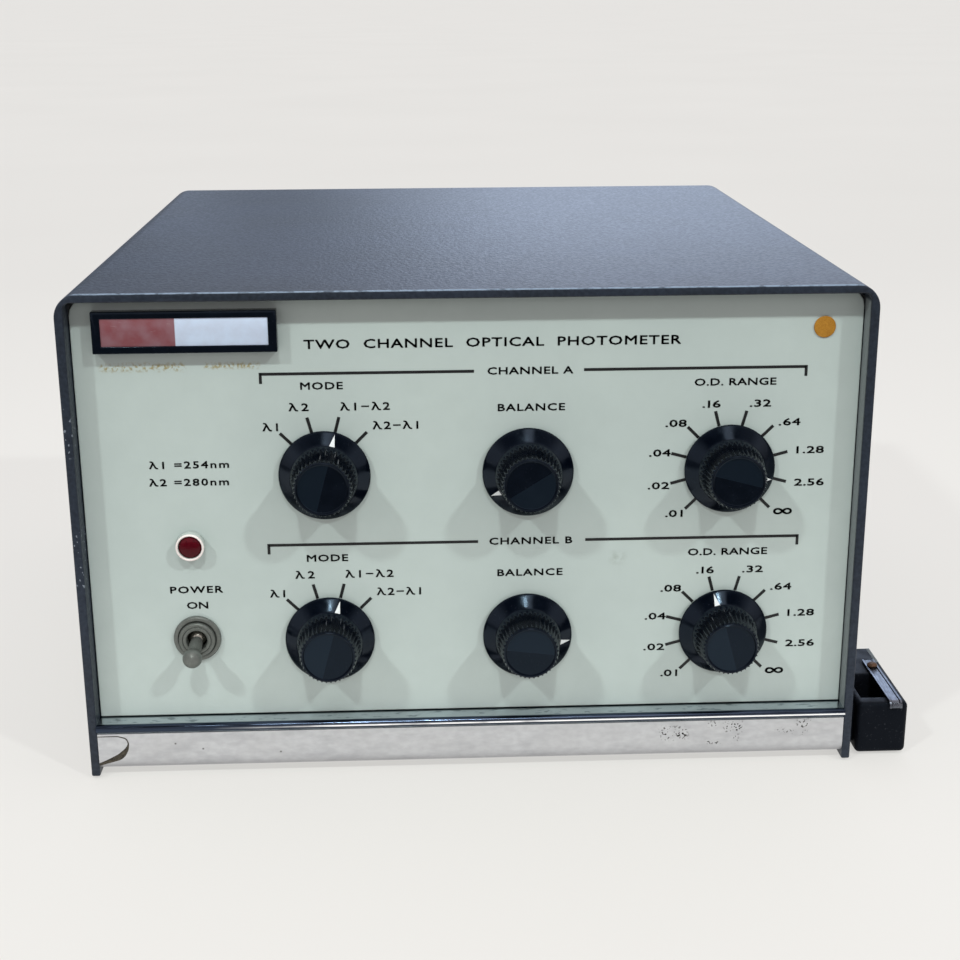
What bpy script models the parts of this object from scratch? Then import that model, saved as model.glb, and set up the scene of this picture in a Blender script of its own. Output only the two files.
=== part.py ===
"""Bench photometer for two absorbance channels, built as separate pieces.

A sheet-metal cabinet holds a recessed front panel with six skirted knobs, a
pilot lamp and a power toggle. A bright rail closes the cabinet below the panel,
and a small cell block with a spring clip hangs on the right side wall.

Cabinet frame used below: X to the right, Y from the front edge of the cover
towards the back, Z up from the lower edge of the cover's side walls. The empty
"cabinet" carries every piece and puts the middle of the footprint at the origin.
"""

from math import acos, cos, degrees, pi, radians, sin

import bmesh
import bpy
from mathutils import Vector

MM = 0.001
GAP = 0.3 * MM

# Cabinet: a cover bent from one sheet, open at the front, the back and below.
COVER_WIDTH = 330 * MM
COVER_HEIGHT = 210 * MM
COVER_DEPTH = 339 * MM
COVER_SHEET = 3.0 * MM
COVER_BEND = 10 * MM
FOOT_DROP = 1.0 * MM
SCREW_HEAD = 2.3 * MM

# Front panel, set back behind the cover's front edge.
PANEL_FACE = 9.0 * MM
PANEL_THICKNESS = 3.2 * MM
PANEL_WIDTH = 321.8 * MM
PANEL_BOTTOM = 24.0 * MM
PANEL_TOP = 206.5 * MM
PANEL_CORNER = 7.0 * MM

# Chassis, rear panel and feet.
CHASSIS_SHEET = 1.6 * MM
CHASSIS_HALF_WIDTH = 161.4 * MM
CHASSIS_BOTTOM = 7.3 * MM
CHASSIS_FLANGE_TOP = 40 * MM
CHASSIS_FRONT = 14.5 * MM
REAR_FACE = 326 * MM
REAR_THICKNESS = 2.0 * MM
FOOT_RADIUS = 9.0 * MM
FOOT_SIDE = 130 * MM
FOOT_FRONT = 50 * MM
FOOT_BACK = 290 * MM

# Rail below the panel.
RAIL_LENGTH = 323.2 * MM
RAIL_TOP = 23.7 * MM
RAIL_BOTTOM = 3.2 * MM
RAIL_FACE = 0.9 * MM
RAIL_WALL = 2.0 * MM
RAIL_BEAD = 1.9 * MM
RAIL_BEAD_DEPTH = 1.3 * MM
RAIL_ROLL = 4.3 * MM
RAIL_SHELF = 14 * MM
RAIL_FLANGE = 28 * MM
FOIL_THICKNESS = 0.35 * MM
FOIL_TUCK = 12 * MM

# Knobs: two rows of three.
KNOB_MIDDLE = 23.5 * MM
KNOB_PITCH = 84.4 * MM
ROW_A = 131.7 * MM
ROW_B = 58.6 * MM
SKIRT_RADIUS = 19.05 * MM
GRIP_RADIUS = 12.4 * MM
KNOB_HEIGHT = 21.8 * MM
SHAFT_RADIUS = 3.175 * MM
BORE_RADIUS = 3.5 * MM
BUSHING_RADIUS = 4.76 * MM
BUSHING_REACH = 4.2 * MM
NUT_CORNER_RADIUS = 7.33 * MM
NUT_THICKNESS = 2.4 * MM
MODE_ANGLE = 15
BALANCE_A_ANGLE = -122
BALANCE_B_ANGLE = 97
RANGE_A_ANGLE = 105
RANGE_B_ANGLE = -15

# Pilot lamp and power toggle.
LAMP_X = -117.8 * MM
LAMP_Z = 101.9 * MM
LENS_RADIUS = 4.7 * MM
TOGGLE_X = -117.3 * MM
TOGGLE_Z = 59.9 * MM
TOGGLE_PIVOT = 10.5 * MM
TOGGLE_BUSHING = 5.95 * MM
TOGGLE_BORE = 4.3 * MM
TOGGLE_REACH = 3.6 * MM
TOGGLE_TILT = 15.6
TOGGLE_TWIST = 12.4
LEVER_LENGTH = 15.3 * MM
LEVER_BALL = 4.1 * MM

# Nameplate and round sticker on the panel.
PLATE_X = -114.7 * MM
PLATE_Z = 193.35 * MM
PLATE_WIDTH = 73.7 * MM
PLATE_HEIGHT = 17.1 * MM
PLATE_DEPTH = 4.7 * MM
PLATE_BORDER = 2.6 * MM
PLATE_END = 3.2 * MM
PLATE_RECESS = 1.4 * MM
STICKER_X = 145.0 * MM
STICKER_Z = 191.2 * MM
STICKER_RADIUS = 4.5 * MM

# Cell block on the right side wall.
BLOCK_LEFT = 168.6 * MM
BLOCK_RIGHT = 191.0 * MM
BLOCK_FRONT = 4.5 * MM
BLOCK_BACK = 66.5 * MM
BLOCK_TOP = 24.0 * MM
POCKET_LEFT = 171.6 * MM
POCKET_RIGHT = 188.0 * MM
POCKET_FRONT = 11.0 * MM
POCKET_BACK = 36.0 * MM
POCKET_FLOOR = 13.0 * MM
CLIP_X = 185.0 * MM
CLIP_PIVOT = 42.0 * MM
CLIP_TAIL = 49.0 * MM
CLIP_NOSE = 3.3 * MM
CLIP_WIDTH = 5.6 * MM
CLIP_THICKNESS = 0.8 * MM

# Rear panel fittings.
INLET_X = 110 * MM
INLET_Z = 45 * MM
FUSE_X = 60 * MM
SOCKET_X = -60 * MM
SOCKET_PITCH = 30 * MM
SOCKET_REACH = 17 * MM
VENT_COUNT = 8
VENT_PITCH = 9 * MM

# The footprint's middle, which is where the finished model's origin lies.
FRONT_REACH = PANEL_FACE - KNOB_HEIGHT
BACK_REACH = REAR_FACE + REAR_THICKNESS + SOCKET_REACH
LEFT_REACH = -COVER_WIDTH / 2 - SCREW_HEAD
CENTRE_X = (BLOCK_RIGHT + LEFT_REACH) / 2
CENTRE_Y = (FRONT_REACH + BACK_REACH) / 2

# Finishes: colour (linear RGB), roughness, metallic.
FINISHES = {
    "textured_blue_grey_paint": ((0.085, 0.100, 0.150), 0.45, 0.0),
    "grey_green_paint": ((0.46, 0.52, 0.49), 0.50, 0.0),
    "bright_rail": ((0.55, 0.58, 0.60), 0.12, 1.0),
    "satin_foil": ((0.56, 0.56, 0.57), 0.35, 1.0),
    "plated_sheet": ((0.50, 0.50, 0.47), 0.40, 1.0),
    "black_phenolic": ((0.006, 0.007, 0.012), 0.12, 0.0),
    "turned_steel": ((0.50, 0.50, 0.50), 0.30, 1.0),
    "nickel_plate": ((0.48, 0.47, 0.44), 0.28, 1.0),
    "moulded_black": ((0.012, 0.012, 0.014), 0.40, 0.0),
    "brown_laminate": ((0.12, 0.06, 0.03), 0.50, 0.0),
    "grey_enamel": ((0.21, 0.22, 0.21), 0.40, 0.0),
    "ivory_plastic": ((0.75, 0.66, 0.62), 0.40, 0.0),
    "red_lens": ((0.20, 0.002, 0.006), 0.10, 0.0),
    "foil_label": ((0.50, 0.60, 0.72), 0.40, 0.3),
    "orange_paper": ((0.58, 0.27, 0.03), 0.60, 0.0),
    "black_rubber": ((0.02, 0.02, 0.02), 0.80, 0.0),
    "rusty_steel": ((0.16, 0.09, 0.06), 0.60, 0.6),
    "spring_steel": ((0.35, 0.35, 0.37), 0.30, 1.0),
    "green_laminate": ((0.03, 0.14, 0.06), 0.50, 0.0),
    "transformer_iron": ((0.05, 0.05, 0.06), 0.60, 0.3),
    "cast_aluminium": ((0.42, 0.42, 0.43), 0.50, 1.0),
}


def clear_scene():
    for existing in list(bpy.data.objects):
        bpy.data.objects.remove(existing, do_unlink=True)


def new_collection(name):
    collection = bpy.data.collections.new(name)
    bpy.context.scene.collection.children.link(collection)
    return collection


clear_scene()
PARTS = new_collection("bench_photometer")
CUTTERS = new_collection("cutters")
CABINET = bpy.data.objects.new("cabinet", None)
CABINET.location = (-CENTRE_X, -CENTRE_Y, FOOT_DROP)
PARTS.objects.link(CABINET)


def principled(name, finish):
    colour, roughness, metallic = FINISHES[finish]
    material = bpy.data.materials.new(f"{name}_{finish}")
    material.use_nodes = True
    shader = material.node_tree.nodes["Principled BSDF"]
    shader.inputs["Base Color"].default_value = (*colour, 1.0)
    shader.inputs["Roughness"].default_value = roughness
    shader.inputs["Metallic"].default_value = metallic
    material.diffuse_color = (*colour, 1.0)
    return material


def add_object(name, data, collection, location, rotation):
    piece = bpy.data.objects.new(name, data)
    piece.parent = CABINET
    piece.location = location
    piece.rotation_euler = rotation
    collection.objects.link(piece)
    return piece


def add_part(name, data, finish, location=(0, 0, 0), rotation=(0, 0, 0)):
    data.materials.append(principled(name, finish))
    return add_object(name, data, PARTS, location, rotation)


def add_cutter(name, data, location=(0, 0, 0), rotation=(0, 0, 0)):
    cutter = add_object(name, data, CUTTERS, location, rotation)
    cutter.hide_render = True
    cutter.display_type = "WIRE"
    return cutter


def combine(part, other, operation):
    modifier = part.modifiers.new(other.name, "BOOLEAN")
    modifier.solver = "EXACT"
    modifier.operation = operation
    modifier.object = other
    return part


def round_edges(part, width, segments=2, angle=50):
    modifier = part.modifiers.new("round_edges", "BEVEL")
    modifier.width = width
    modifier.segments = segments
    modifier.limit_method = "ANGLE"
    modifier.angle_limit = radians(angle)
    return part


def box_mesh(name, low, high):
    """A box between two corners, in the cabinet's own coordinates."""
    low = Vector(low)
    high = Vector(high)
    shape = bmesh.new()
    bmesh.ops.create_cube(shape, size=1.0)
    bmesh.ops.scale(shape, vec=high - low, verts=shape.verts)
    bmesh.ops.translate(shape, vec=(low + high) / 2, verts=shape.verts)
    mesh = bpy.data.meshes.new(name)
    shape.to_mesh(mesh)
    shape.free()
    return mesh


def rounded_box_mesh(name, low, high, radius, picked):
    """A box with only the picked edges rounded; picked reads an edge's run and middle."""
    mesh = box_mesh(name, low, high)
    shape = bmesh.new()
    shape.from_mesh(mesh)
    chosen = []
    for edge in shape.edges:
        run = edge.verts[1].co - edge.verts[0].co
        middle = (edge.verts[1].co + edge.verts[0].co) / 2
        if picked(run, middle):
            chosen.append(edge)
    bmesh.ops.bevel(shape, geom=chosen, offset=radius, segments=4, profile=0.5, affect="EDGES")
    shape.to_mesh(mesh)
    shape.free()
    return mesh


def upright(run, middle):
    return abs(run.z) > max(abs(run.x), abs(run.y))


def upper_corner(run, middle):
    return abs(run.y) > max(abs(run.x), abs(run.z)) and middle.z > COVER_HEIGHT / 2


def drum_mesh(name, radius, start, stop, sides=16):
    """A straight round bar along local Z."""
    shape = bmesh.new()
    bmesh.ops.create_cone(
        shape, cap_ends=True, segments=sides, radius1=radius, radius2=radius, depth=stop - start
    )
    bmesh.ops.translate(shape, vec=(0, 0, (start + stop) / 2), verts=shape.verts)
    mesh = bpy.data.meshes.new(name)
    shape.to_mesh(mesh)
    shape.free()
    mesh.shade_smooth()
    mesh.set_sharp_from_angle(angle=radians(40))
    return mesh


def arc(centre, radius, start, stop, steps):
    """Points on an arc, in degrees, both ends included."""
    points = []
    for step in range(steps + 1):
        angle = radians(start + (stop - start) * step / steps)
        points.append((centre[0] + radius * cos(angle), centre[1] + radius * sin(angle)))
    return points


def line_mesh(name, points, closed):
    """A chain of edges in the local XZ plane: a profile for a turned piece."""
    edges = [(index, index + 1) for index in range(len(points) - 1)]
    if closed:
        edges.append((len(points) - 1, 0))
    mesh = bpy.data.meshes.new(name)
    mesh.from_pydata([(x, 0, z) for x, z in points], edges, [])
    return mesh


def turn(piece, steps):
    """Spin a profile once round the local Z axis."""
    modifier = piece.modifiers.new("turn", "SCREW")
    modifier.axis = "Z"
    modifier.angle = 2 * pi
    modifier.steps = steps
    modifier.render_steps = steps
    modifier.use_merge_vertices = True
    modifier.merge_threshold = 0.00005
    modifier.use_smooth_shade = True
    return piece


def turned_part(name, points, finish, location, rotation, steps=16, closed=False):
    mesh = line_mesh(name, points, closed)
    return turn(add_part(name, mesh, finish, location, rotation), steps)


def outline_curve(name, points, length):
    """A flat closed outline, as thick as length, centred on its own plane."""
    curve = bpy.data.curves.new(name, "CURVE")
    curve.dimensions = "2D"
    curve.fill_mode = "BOTH"
    curve.extrude = length / 2
    spline = curve.splines.new("POLY")
    spline.points.add(len(points) - 1)
    for point, (x, y) in zip(spline.points, points):
        point.co = (x, y, 0, 1)
    spline.use_cyclic_u = True
    return curve


def sheet_mesh(name, path, axis_run):
    """An open path in the XZ plane drawn out along Y, from axis_run[0] to axis_run[1]."""
    shape = bmesh.new()
    corners = [shape.verts.new((x, axis_run[0], z)) for x, z in path]
    edges = [shape.edges.new(pair) for pair in zip(corners, corners[1:])]
    drawn = bmesh.ops.extrude_edge_only(shape, edges=edges)
    moved = [item for item in drawn["geom"] if isinstance(item, bmesh.types.BMVert)]
    bmesh.ops.translate(shape, vec=(0, axis_run[1] - axis_run[0], 0), verts=moved)
    bmesh.ops.recalc_face_normals(shape, faces=shape.faces)
    mesh = bpy.data.meshes.new(name)
    shape.to_mesh(mesh)
    shape.free()
    return mesh


def thicken(part, thickness, offset):
    modifier = part.modifiers.new("thickness", "SOLIDIFY")
    modifier.thickness = thickness
    modifier.offset = offset
    modifier.use_even_offset = True
    return part


# Local Z points out of the front panel, towards the person using it.
OUT_OF_PANEL = (radians(90), 0, 0)
# Local Z points out of the rear panel.
OUT_OF_BACK = (radians(-90), 0, 0)
# An outline's local X runs along the depth and its local Y upwards.
ALONG_WIDTH = (radians(90), 0, radians(90))


def on_panel(x, z):
    return (x, PANEL_FACE, z)


def on_back(x, z):
    return (x, REAR_FACE + REAR_THICKNESS, z)


def drill(part, name, radius, location, rotation, reach, sides=16):
    """Bore a round hole through a part, to both sides of a place."""
    mesh = drum_mesh(name, radius, -reach, reach, sides)
    return combine(part, add_cutter(name, mesh, location, rotation), "DIFFERENCE")


def top_cover():
    half = COVER_WIDTH / 2
    shoulder = half - COVER_BEND
    bend = COVER_HEIGHT - COVER_BEND
    path = [(-half, 0)]
    path += arc((-shoulder, bend), COVER_BEND, 180, 90, 6)
    path += arc((shoulder, bend), COVER_BEND, 90, 0, 6)
    path += [(half, 0)]
    mesh = sheet_mesh("top_cover", path, (0, COVER_DEPTH))
    cover = add_part("top_cover", mesh, "textured_blue_grey_paint")
    thicken(cover, COVER_SHEET, -1)
    round_edges(cover, 0.6 * MM)
    for side, y, z in cover_screw_places():
        name = f"cover_hole_{screw_name(side, y)}"
        drill(cover, name, 2.3 * MM, (side * half, y, z), (0, radians(90), 0), 6 * MM, 12)


def cover_screw_places():
    """Side (-1 left, 1 right), distance back and height of the four side screws."""
    places = []
    for side in (-1, 1):
        for y in (95 * MM, 285 * MM):
            places.append((side, y, 28 * MM))
    return places


def screw_name(side, y):
    return ("left" if side < 0 else "right") + ("_front" if y < COVER_DEPTH / 2 else "_back")


def cover_screw(side, y, z):
    """A pan head outside the cover and a shank through the chassis flange."""
    profile = [(0, SCREW_HEAD), (2.2 * MM, 2.1 * MM), (3.6 * MM, 1.4 * MM), (4.0 * MM, GAP)]
    profile += [(1.9 * MM, GAP), (1.9 * MM, -8 * MM), (0, -8 * MM)]
    name = f"cover_screw_{screw_name(side, y)}"
    place = (side * COVER_WIDTH / 2, y, z)
    turned_part(name, profile, "nickel_plate", place, (0, side * radians(90), 0), 12)


def front_panel():
    low = (-PANEL_WIDTH / 2, PANEL_FACE, PANEL_BOTTOM)
    high = (PANEL_WIDTH / 2, PANEL_FACE + PANEL_THICKNESS, PANEL_TOP)
    mesh = rounded_box_mesh("front_panel", low, high, PANEL_CORNER, upper_corner)
    panel = add_part("front_panel", mesh, "grey_green_paint")
    round_edges(panel, 0.4 * MM)
    for name, x, z in knob_places():
        place = on_panel(x, z)
        drill(panel, f"panel_hole_{name}", BUSHING_RADIUS + GAP, place, OUT_OF_PANEL, 8 * MM)
    lamp = on_panel(LAMP_X, LAMP_Z)
    drill(panel, "panel_hole_lamp", 4.3 * MM, lamp, OUT_OF_PANEL, 8 * MM)
    toggle = on_panel(TOGGLE_X, TOGGLE_Z)
    drill(panel, "panel_hole_toggle", TOGGLE_BUSHING + GAP, toggle, OUT_OF_PANEL, 8 * MM)


def chassis_tray():
    half = CHASSIS_HALF_WIDTH
    fold = 2.5 * MM
    base = CHASSIS_BOTTOM
    path = [(-half, CHASSIS_FLANGE_TOP)]
    path += arc((fold - half, base + fold), fold, 180, 270, 3)
    path += arc((half - fold, base + fold), fold, 270, 360, 3)
    path += [(half, CHASSIS_FLANGE_TOP)]
    mesh = sheet_mesh("chassis_tray", path, (CHASSIS_FRONT, REAR_FACE - GAP))
    tray = add_part("chassis_tray", mesh, "plated_sheet")
    thicken(tray, CHASSIS_SHEET, -1)
    for side, y, z in cover_screw_places():
        name = f"flange_hole_{screw_name(side, y)}"
        drill(tray, name, 2.2 * MM, (side * half, y, z), (0, radians(90), 0), 5 * MM, 12)


def foot(name, x, y):
    """A turned rubber foot, wider at the floor side's shoulder than at its face."""
    top = CHASSIS_BOTTOM - GAP + FOOT_DROP
    profile = [(0, top), (FOOT_RADIUS, top), (FOOT_RADIUS, 1.2 * MM)]
    profile += [(FOOT_RADIUS - 0.8 * MM, 0), (0, 0)]
    turned_part(name, profile, "black_rubber", (x, y, -FOOT_DROP), (0, 0, 0))


def rear_panel():
    low = (-CHASSIS_HALF_WIDTH, REAR_FACE, CHASSIS_BOTTOM)
    high = (CHASSIS_HALF_WIDTH, REAR_FACE + REAR_THICKNESS, PANEL_TOP)
    mesh = rounded_box_mesh("rear_panel", low, high, PANEL_CORNER, upper_corner)
    panel = add_part("rear_panel", mesh, "plated_sheet")
    cut_low = (INLET_X - 14 * MM, REAR_FACE - 5 * MM, INLET_Z - 10 * MM)
    cut_high = (INLET_X + 14 * MM, REAR_FACE + 7 * MM, INLET_Z + 10 * MM)
    cutter = add_cutter("inlet_hole", box_mesh("inlet_hole", cut_low, cut_high))
    combine(panel, cutter, "DIFFERENCE")
    drill(panel, "fuse_hole", 6.3 * MM, on_back(FUSE_X, INLET_Z), OUT_OF_BACK, 8 * MM)
    for name, x in socket_places():
        drill(panel, f"{name}_hole", 5.1 * MM, on_back(x, INLET_Z), OUT_OF_BACK, 8 * MM)
    for row in range(VENT_COUNT):
        z = 110 * MM + row * VENT_PITCH
        slot_low = (-45 * MM, REAR_FACE - 5 * MM, z)
        slot_high = (45 * MM, REAR_FACE + 7 * MM, z + 3 * MM)
        slot = add_cutter(f"vent_{row}", box_mesh(f"vent_{row}", slot_low, slot_high))
        combine(panel, slot, "DIFFERENCE")


def front_rail():
    """A channel open to the back, with a half-round bead along its front top edge."""
    bead_z = RAIL_TOP - RAIL_BEAD
    bead_end = 180 + degrees(acos((RAIL_BEAD_DEPTH - RAIL_FACE) / RAIL_BEAD))
    roll = (RAIL_FACE + RAIL_ROLL, RAIL_BOTTOM + RAIL_ROLL)
    inner = RAIL_ROLL - RAIL_WALL
    outline = [(RAIL_SHELF, RAIL_TOP)]
    outline += arc((RAIL_BEAD_DEPTH, bead_z), RAIL_BEAD, 90, bead_end, 10)
    outline += arc(roll, RAIL_ROLL, 180, 270, 6)
    outline += [(RAIL_FLANGE, RAIL_BOTTOM), (RAIL_FLANGE, RAIL_BOTTOM + RAIL_WALL)]
    outline += arc(roll, inner, 270, 180, 4)
    outline += [(RAIL_FACE + RAIL_WALL, RAIL_TOP - RAIL_WALL), (RAIL_SHELF, RAIL_TOP - RAIL_WALL)]
    curve = outline_curve("front_rail", outline, RAIL_LENGTH)
    add_part("front_rail", curve, "bright_rail", (0, 0, 0), ALONG_WIDTH)


def rail_foil():
    """Self-adhesive foil over the rail's face, rolled under its lower edge."""
    roll = (RAIL_FACE + RAIL_ROLL, RAIL_BOTTOM + RAIL_ROLL)
    top = RAIL_TOP - 2 * RAIL_BEAD - GAP
    near = RAIL_ROLL + GAP
    far = near + FOIL_THICKNESS
    outline = [(roll[0] - far, top)]
    outline += arc(roll, far, 180, 270, 6)
    outline += [(FOIL_TUCK, roll[1] - far), (FOIL_TUCK, roll[1] - near)]
    outline += arc(roll, near, 270, 180, 6)
    outline += [(roll[0] - near, top)]
    curve = outline_curve("rail_foil", outline, RAIL_LENGTH - 2 * GAP)
    add_part("rail_foil", curve, "satin_foil", (0, 0, 0), ALONG_WIDTH)


def knob_places():
    """Name, X and Z of the six controls."""
    places = []
    for row, z in (("a", ROW_A), ("b", ROW_B)):
        for column, kind in enumerate(("mode", "balance", "range")):
            places.append((f"{kind}_{row}", KNOB_MIDDLE + (column - 1) * KNOB_PITCH, z))
    return places


def pointer_angle(name):
    """Where a knob points at rest, in degrees clockwise from straight up."""
    if name.startswith("mode"):
        return MODE_ANGLE
    angles = {
        "balance_a": BALANCE_A_ANGLE,
        "balance_b": BALANCE_B_ANGLE,
        "range_a": RANGE_A_ANGLE,
        "range_b": RANGE_B_ANGLE,
    }
    return angles[name]


def turned_on_panel(angle):
    """Local Z out of the panel, and the piece turned clockwise as seen from the front."""
    return (radians(90), radians(angle), 0)


def knob(name, x, z):
    """A moulded knob: an inset cap disc, a grip, a conical skirt and a hollow back."""
    rim = 1.3 * MM
    profile = [
        (0, KNOB_HEIGHT - 0.4 * MM),
        (9.6 * MM, KNOB_HEIGHT - 0.4 * MM),
        (9.9 * MM, KNOB_HEIGHT),
        (11.0 * MM, KNOB_HEIGHT),
        (11.6 * MM, KNOB_HEIGHT - 0.6 * MM),
        (GRIP_RADIUS, 8.0 * MM),
        (GRIP_RADIUS + 0.6 * MM, 7.0 * MM),
        (SKIRT_RADIUS - 0.6 * MM, 2.6 * MM),
        (SKIRT_RADIUS, 2.2 * MM),
        (SKIRT_RADIUS, rim),
        (SKIRT_RADIUS - 1.4 * MM, rim),
        (SKIRT_RADIUS - 1.4 * MM, 1.9 * MM),
        (12.0 * MM, 5.4 * MM),
        (BORE_RADIUS, 5.4 * MM),
        (BORE_RADIUS, 15.5 * MM),
        (0, 15.5 * MM),
    ]
    rotation = turned_on_panel(pointer_angle(name))
    turned_part(f"knob_{name}", profile, "black_phenolic", on_panel(x, z), rotation, 20)


def shaft(name, x, z):
    mesh = drum_mesh(f"shaft_{name}", SHAFT_RADIUS, shaft_end(name), 15.1 * MM)
    rotation = turned_on_panel(pointer_angle(name))
    add_part(f"shaft_{name}", mesh, "turned_steel", on_panel(x, z), rotation)


def shaft_end(name):
    """How far behind the panel's face a shaft ends."""
    return -12.5 * MM if name.startswith("balance") else -28 * MM


def control_bushing():
    """The threaded neck shared by the switches and the balance controls."""
    back = -PANEL_THICKNESS - GAP
    return [(BORE_RADIUS, BUSHING_REACH), (BUSHING_RADIUS, BUSHING_REACH), (BUSHING_RADIUS, back)]


def rotary_switch(name, x, z):
    """A bushing, a detent housing and two switch wafers on one stem."""
    back = -PANEL_THICKNESS - GAP
    profile = [(BORE_RADIUS, -30 * MM)] + control_bushing()
    profile += [(15 * MM, back), (15 * MM, -12 * MM), (5.5 * MM, -12 * MM)]
    for front in (-16 * MM, -24 * MM):
        profile += [(5.5 * MM, front), (18 * MM, front)]
        profile += [(18 * MM, front - 1.6 * MM), (5.5 * MM, front - 1.6 * MM)]
    profile += [(5.5 * MM, -30 * MM)]
    place = on_panel(x, z)
    name = f"rotary_switch_{name}"
    turned_part(name, profile, "brown_laminate", place, OUT_OF_PANEL, 16, closed=True)


def balance_control(name, x, z):
    """A variable resistor: a bushing in front of a closed round can."""
    back = -PANEL_THICKNESS - GAP
    profile = [(0, -13 * MM), (BORE_RADIUS, -13 * MM)] + control_bushing()
    profile += [(12.5 * MM, back), (12.5 * MM, -17 * MM), (0, -17 * MM)]
    turned_part(f"resistor_{name}", profile, "nickel_plate", on_panel(x, z), OUT_OF_PANEL, 16)


def bushing_nut(name, x, z):
    mesh = drum_mesh(f"nut_{name}", NUT_CORNER_RADIUS, GAP, GAP + NUT_THICKNESS, 6)
    nut = add_part(f"nut_{name}", mesh, "nickel_plate", on_panel(x, z), OUT_OF_PANEL)
    bore = BUSHING_RADIUS + GAP
    drill(nut, f"nut_bore_{name}", bore, on_panel(x, z), OUT_OF_PANEL, 8 * MM)


def control(name, x, z):
    knob(name, x, z)
    shaft(name, x, z)
    bushing_nut(name, x, z)
    if name.startswith("balance"):
        balance_control(name, x, z)
    else:
        rotary_switch(name, x, z)


def lamp_bezel():
    ring = [(5.0 * MM, 4.2 * MM), (5.3 * MM, 4.8 * MM), (5.8 * MM, 4.6 * MM)]
    ring += [(6.1 * MM, 4.1 * MM), (6.1 * MM, GAP), (5.0 * MM, GAP)]
    place = on_panel(LAMP_X, LAMP_Z)
    turned_part("lamp_bezel", ring, "ivory_plastic", place, OUT_OF_PANEL, 20, closed=True)


def lamp_lens():
    """A low domed lens with a stem through the panel."""
    profile = [(0, 4.6 * MM), (2.0 * MM, 4.4 * MM), (3.6 * MM, 4.0 * MM)]
    profile += [(LENS_RADIUS, 3.3 * MM), (LENS_RADIUS, 0.4 * MM), (3.9 * MM, 0.4 * MM)]
    profile += [(3.9 * MM, -3.4 * MM), (0, -3.4 * MM)]
    turned_part("lamp_lens", profile, "red_lens", on_panel(LAMP_X, LAMP_Z), OUT_OF_PANEL)


def lamp_holder():
    """The bulb's socket behind the panel."""
    profile = [(0, -3.8 * MM), (6.5 * MM, -3.8 * MM), (6.5 * MM, -6 * MM), (5.5 * MM, -6 * MM)]
    profile += [(5.5 * MM, -26 * MM), (0, -26 * MM)]
    turned_part("lamp_holder", profile, "moulded_black", on_panel(LAMP_X, LAMP_Z), OUT_OF_PANEL)


def toggle_body():
    """The switch case behind the panel, with a bored bushing through it."""
    back = PANEL_FACE + PANEL_THICKNESS + GAP
    low = (-8.5 * MM, back - PANEL_FACE, -15 * MM)
    high = (8.5 * MM, 31 * MM - PANEL_FACE, 15 * MM)
    place = on_panel(TOGGLE_X, TOGGLE_Z)
    twist = (0, radians(TOGGLE_TWIST), 0)
    body = add_part("toggle_body", box_mesh("toggle_body", low, high), "moulded_black", place, twist)
    neck = drum_mesh("toggle_neck", TOGGLE_BUSHING, -6 * MM, TOGGLE_REACH)
    combine(body, add_cutter("toggle_neck", neck, place, OUT_OF_PANEL), "UNION")
    bore = drum_mesh("toggle_bore", TOGGLE_BORE, -6.5 * MM, 8 * MM)
    combine(body, add_cutter("toggle_bore", bore, place, OUT_OF_PANEL), "DIFFERENCE")


def toggle_ring():
    """The wide washer that lies on the panel."""
    inner = TOGGLE_BUSHING + GAP
    ring = [(inner, 1.9 * MM), (9.2 * MM, 1.9 * MM), (10 * MM, 1.2 * MM)]
    ring += [(10 * MM, GAP), (inner, GAP)]
    place = on_panel(TOGGLE_X, TOGGLE_Z)
    turned_part("toggle_ring", ring, "grey_enamel", place, OUT_OF_PANEL, 20, closed=True)


def toggle_nut():
    """The round dress nut that clamps the washer."""
    inner = TOGGLE_BUSHING + GAP
    ring = [(inner, 4.0 * MM), (7.2 * MM, 4.0 * MM), (7.75 * MM, 3.4 * MM)]
    ring += [(7.75 * MM, 2.2 * MM), (inner, 2.2 * MM)]
    place = on_panel(TOGGLE_X, TOGGLE_Z)
    turned_part("toggle_nut", ring, "grey_enamel", place, OUT_OF_PANEL, 20, closed=True)


def lever_direction():
    """Unit vector from the toggle's pivot to the tip of its lever at rest."""
    across = sin(radians(TOGGLE_TILT))
    twist = radians(TOGGLE_TWIST)
    return Vector((-across * sin(twist), -cos(radians(TOGGLE_TILT)), -across * cos(twist)))


def toggle_lever():
    """A bat-shaped lever with a pivot ball inside the bushing."""
    ball = LEVER_BALL
    tip = arc((0, LEVER_LENGTH), ball, 90, -35, 5)
    pivot = arc((0, 0), 3.4 * MM, 55, -90, 4)
    profile = tip + [(2.0 * MM, 4.6 * MM)] + pivot
    profile[0] = (0, LEVER_LENGTH + ball)
    profile[-1] = (0, -3.4 * MM)
    rotation = lever_direction().to_track_quat("Z", "X").to_euler()
    place = (TOGGLE_X, TOGGLE_PIVOT, TOGGLE_Z)
    turned_part("toggle_lever", profile, "grey_enamel", place, rotation)


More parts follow.
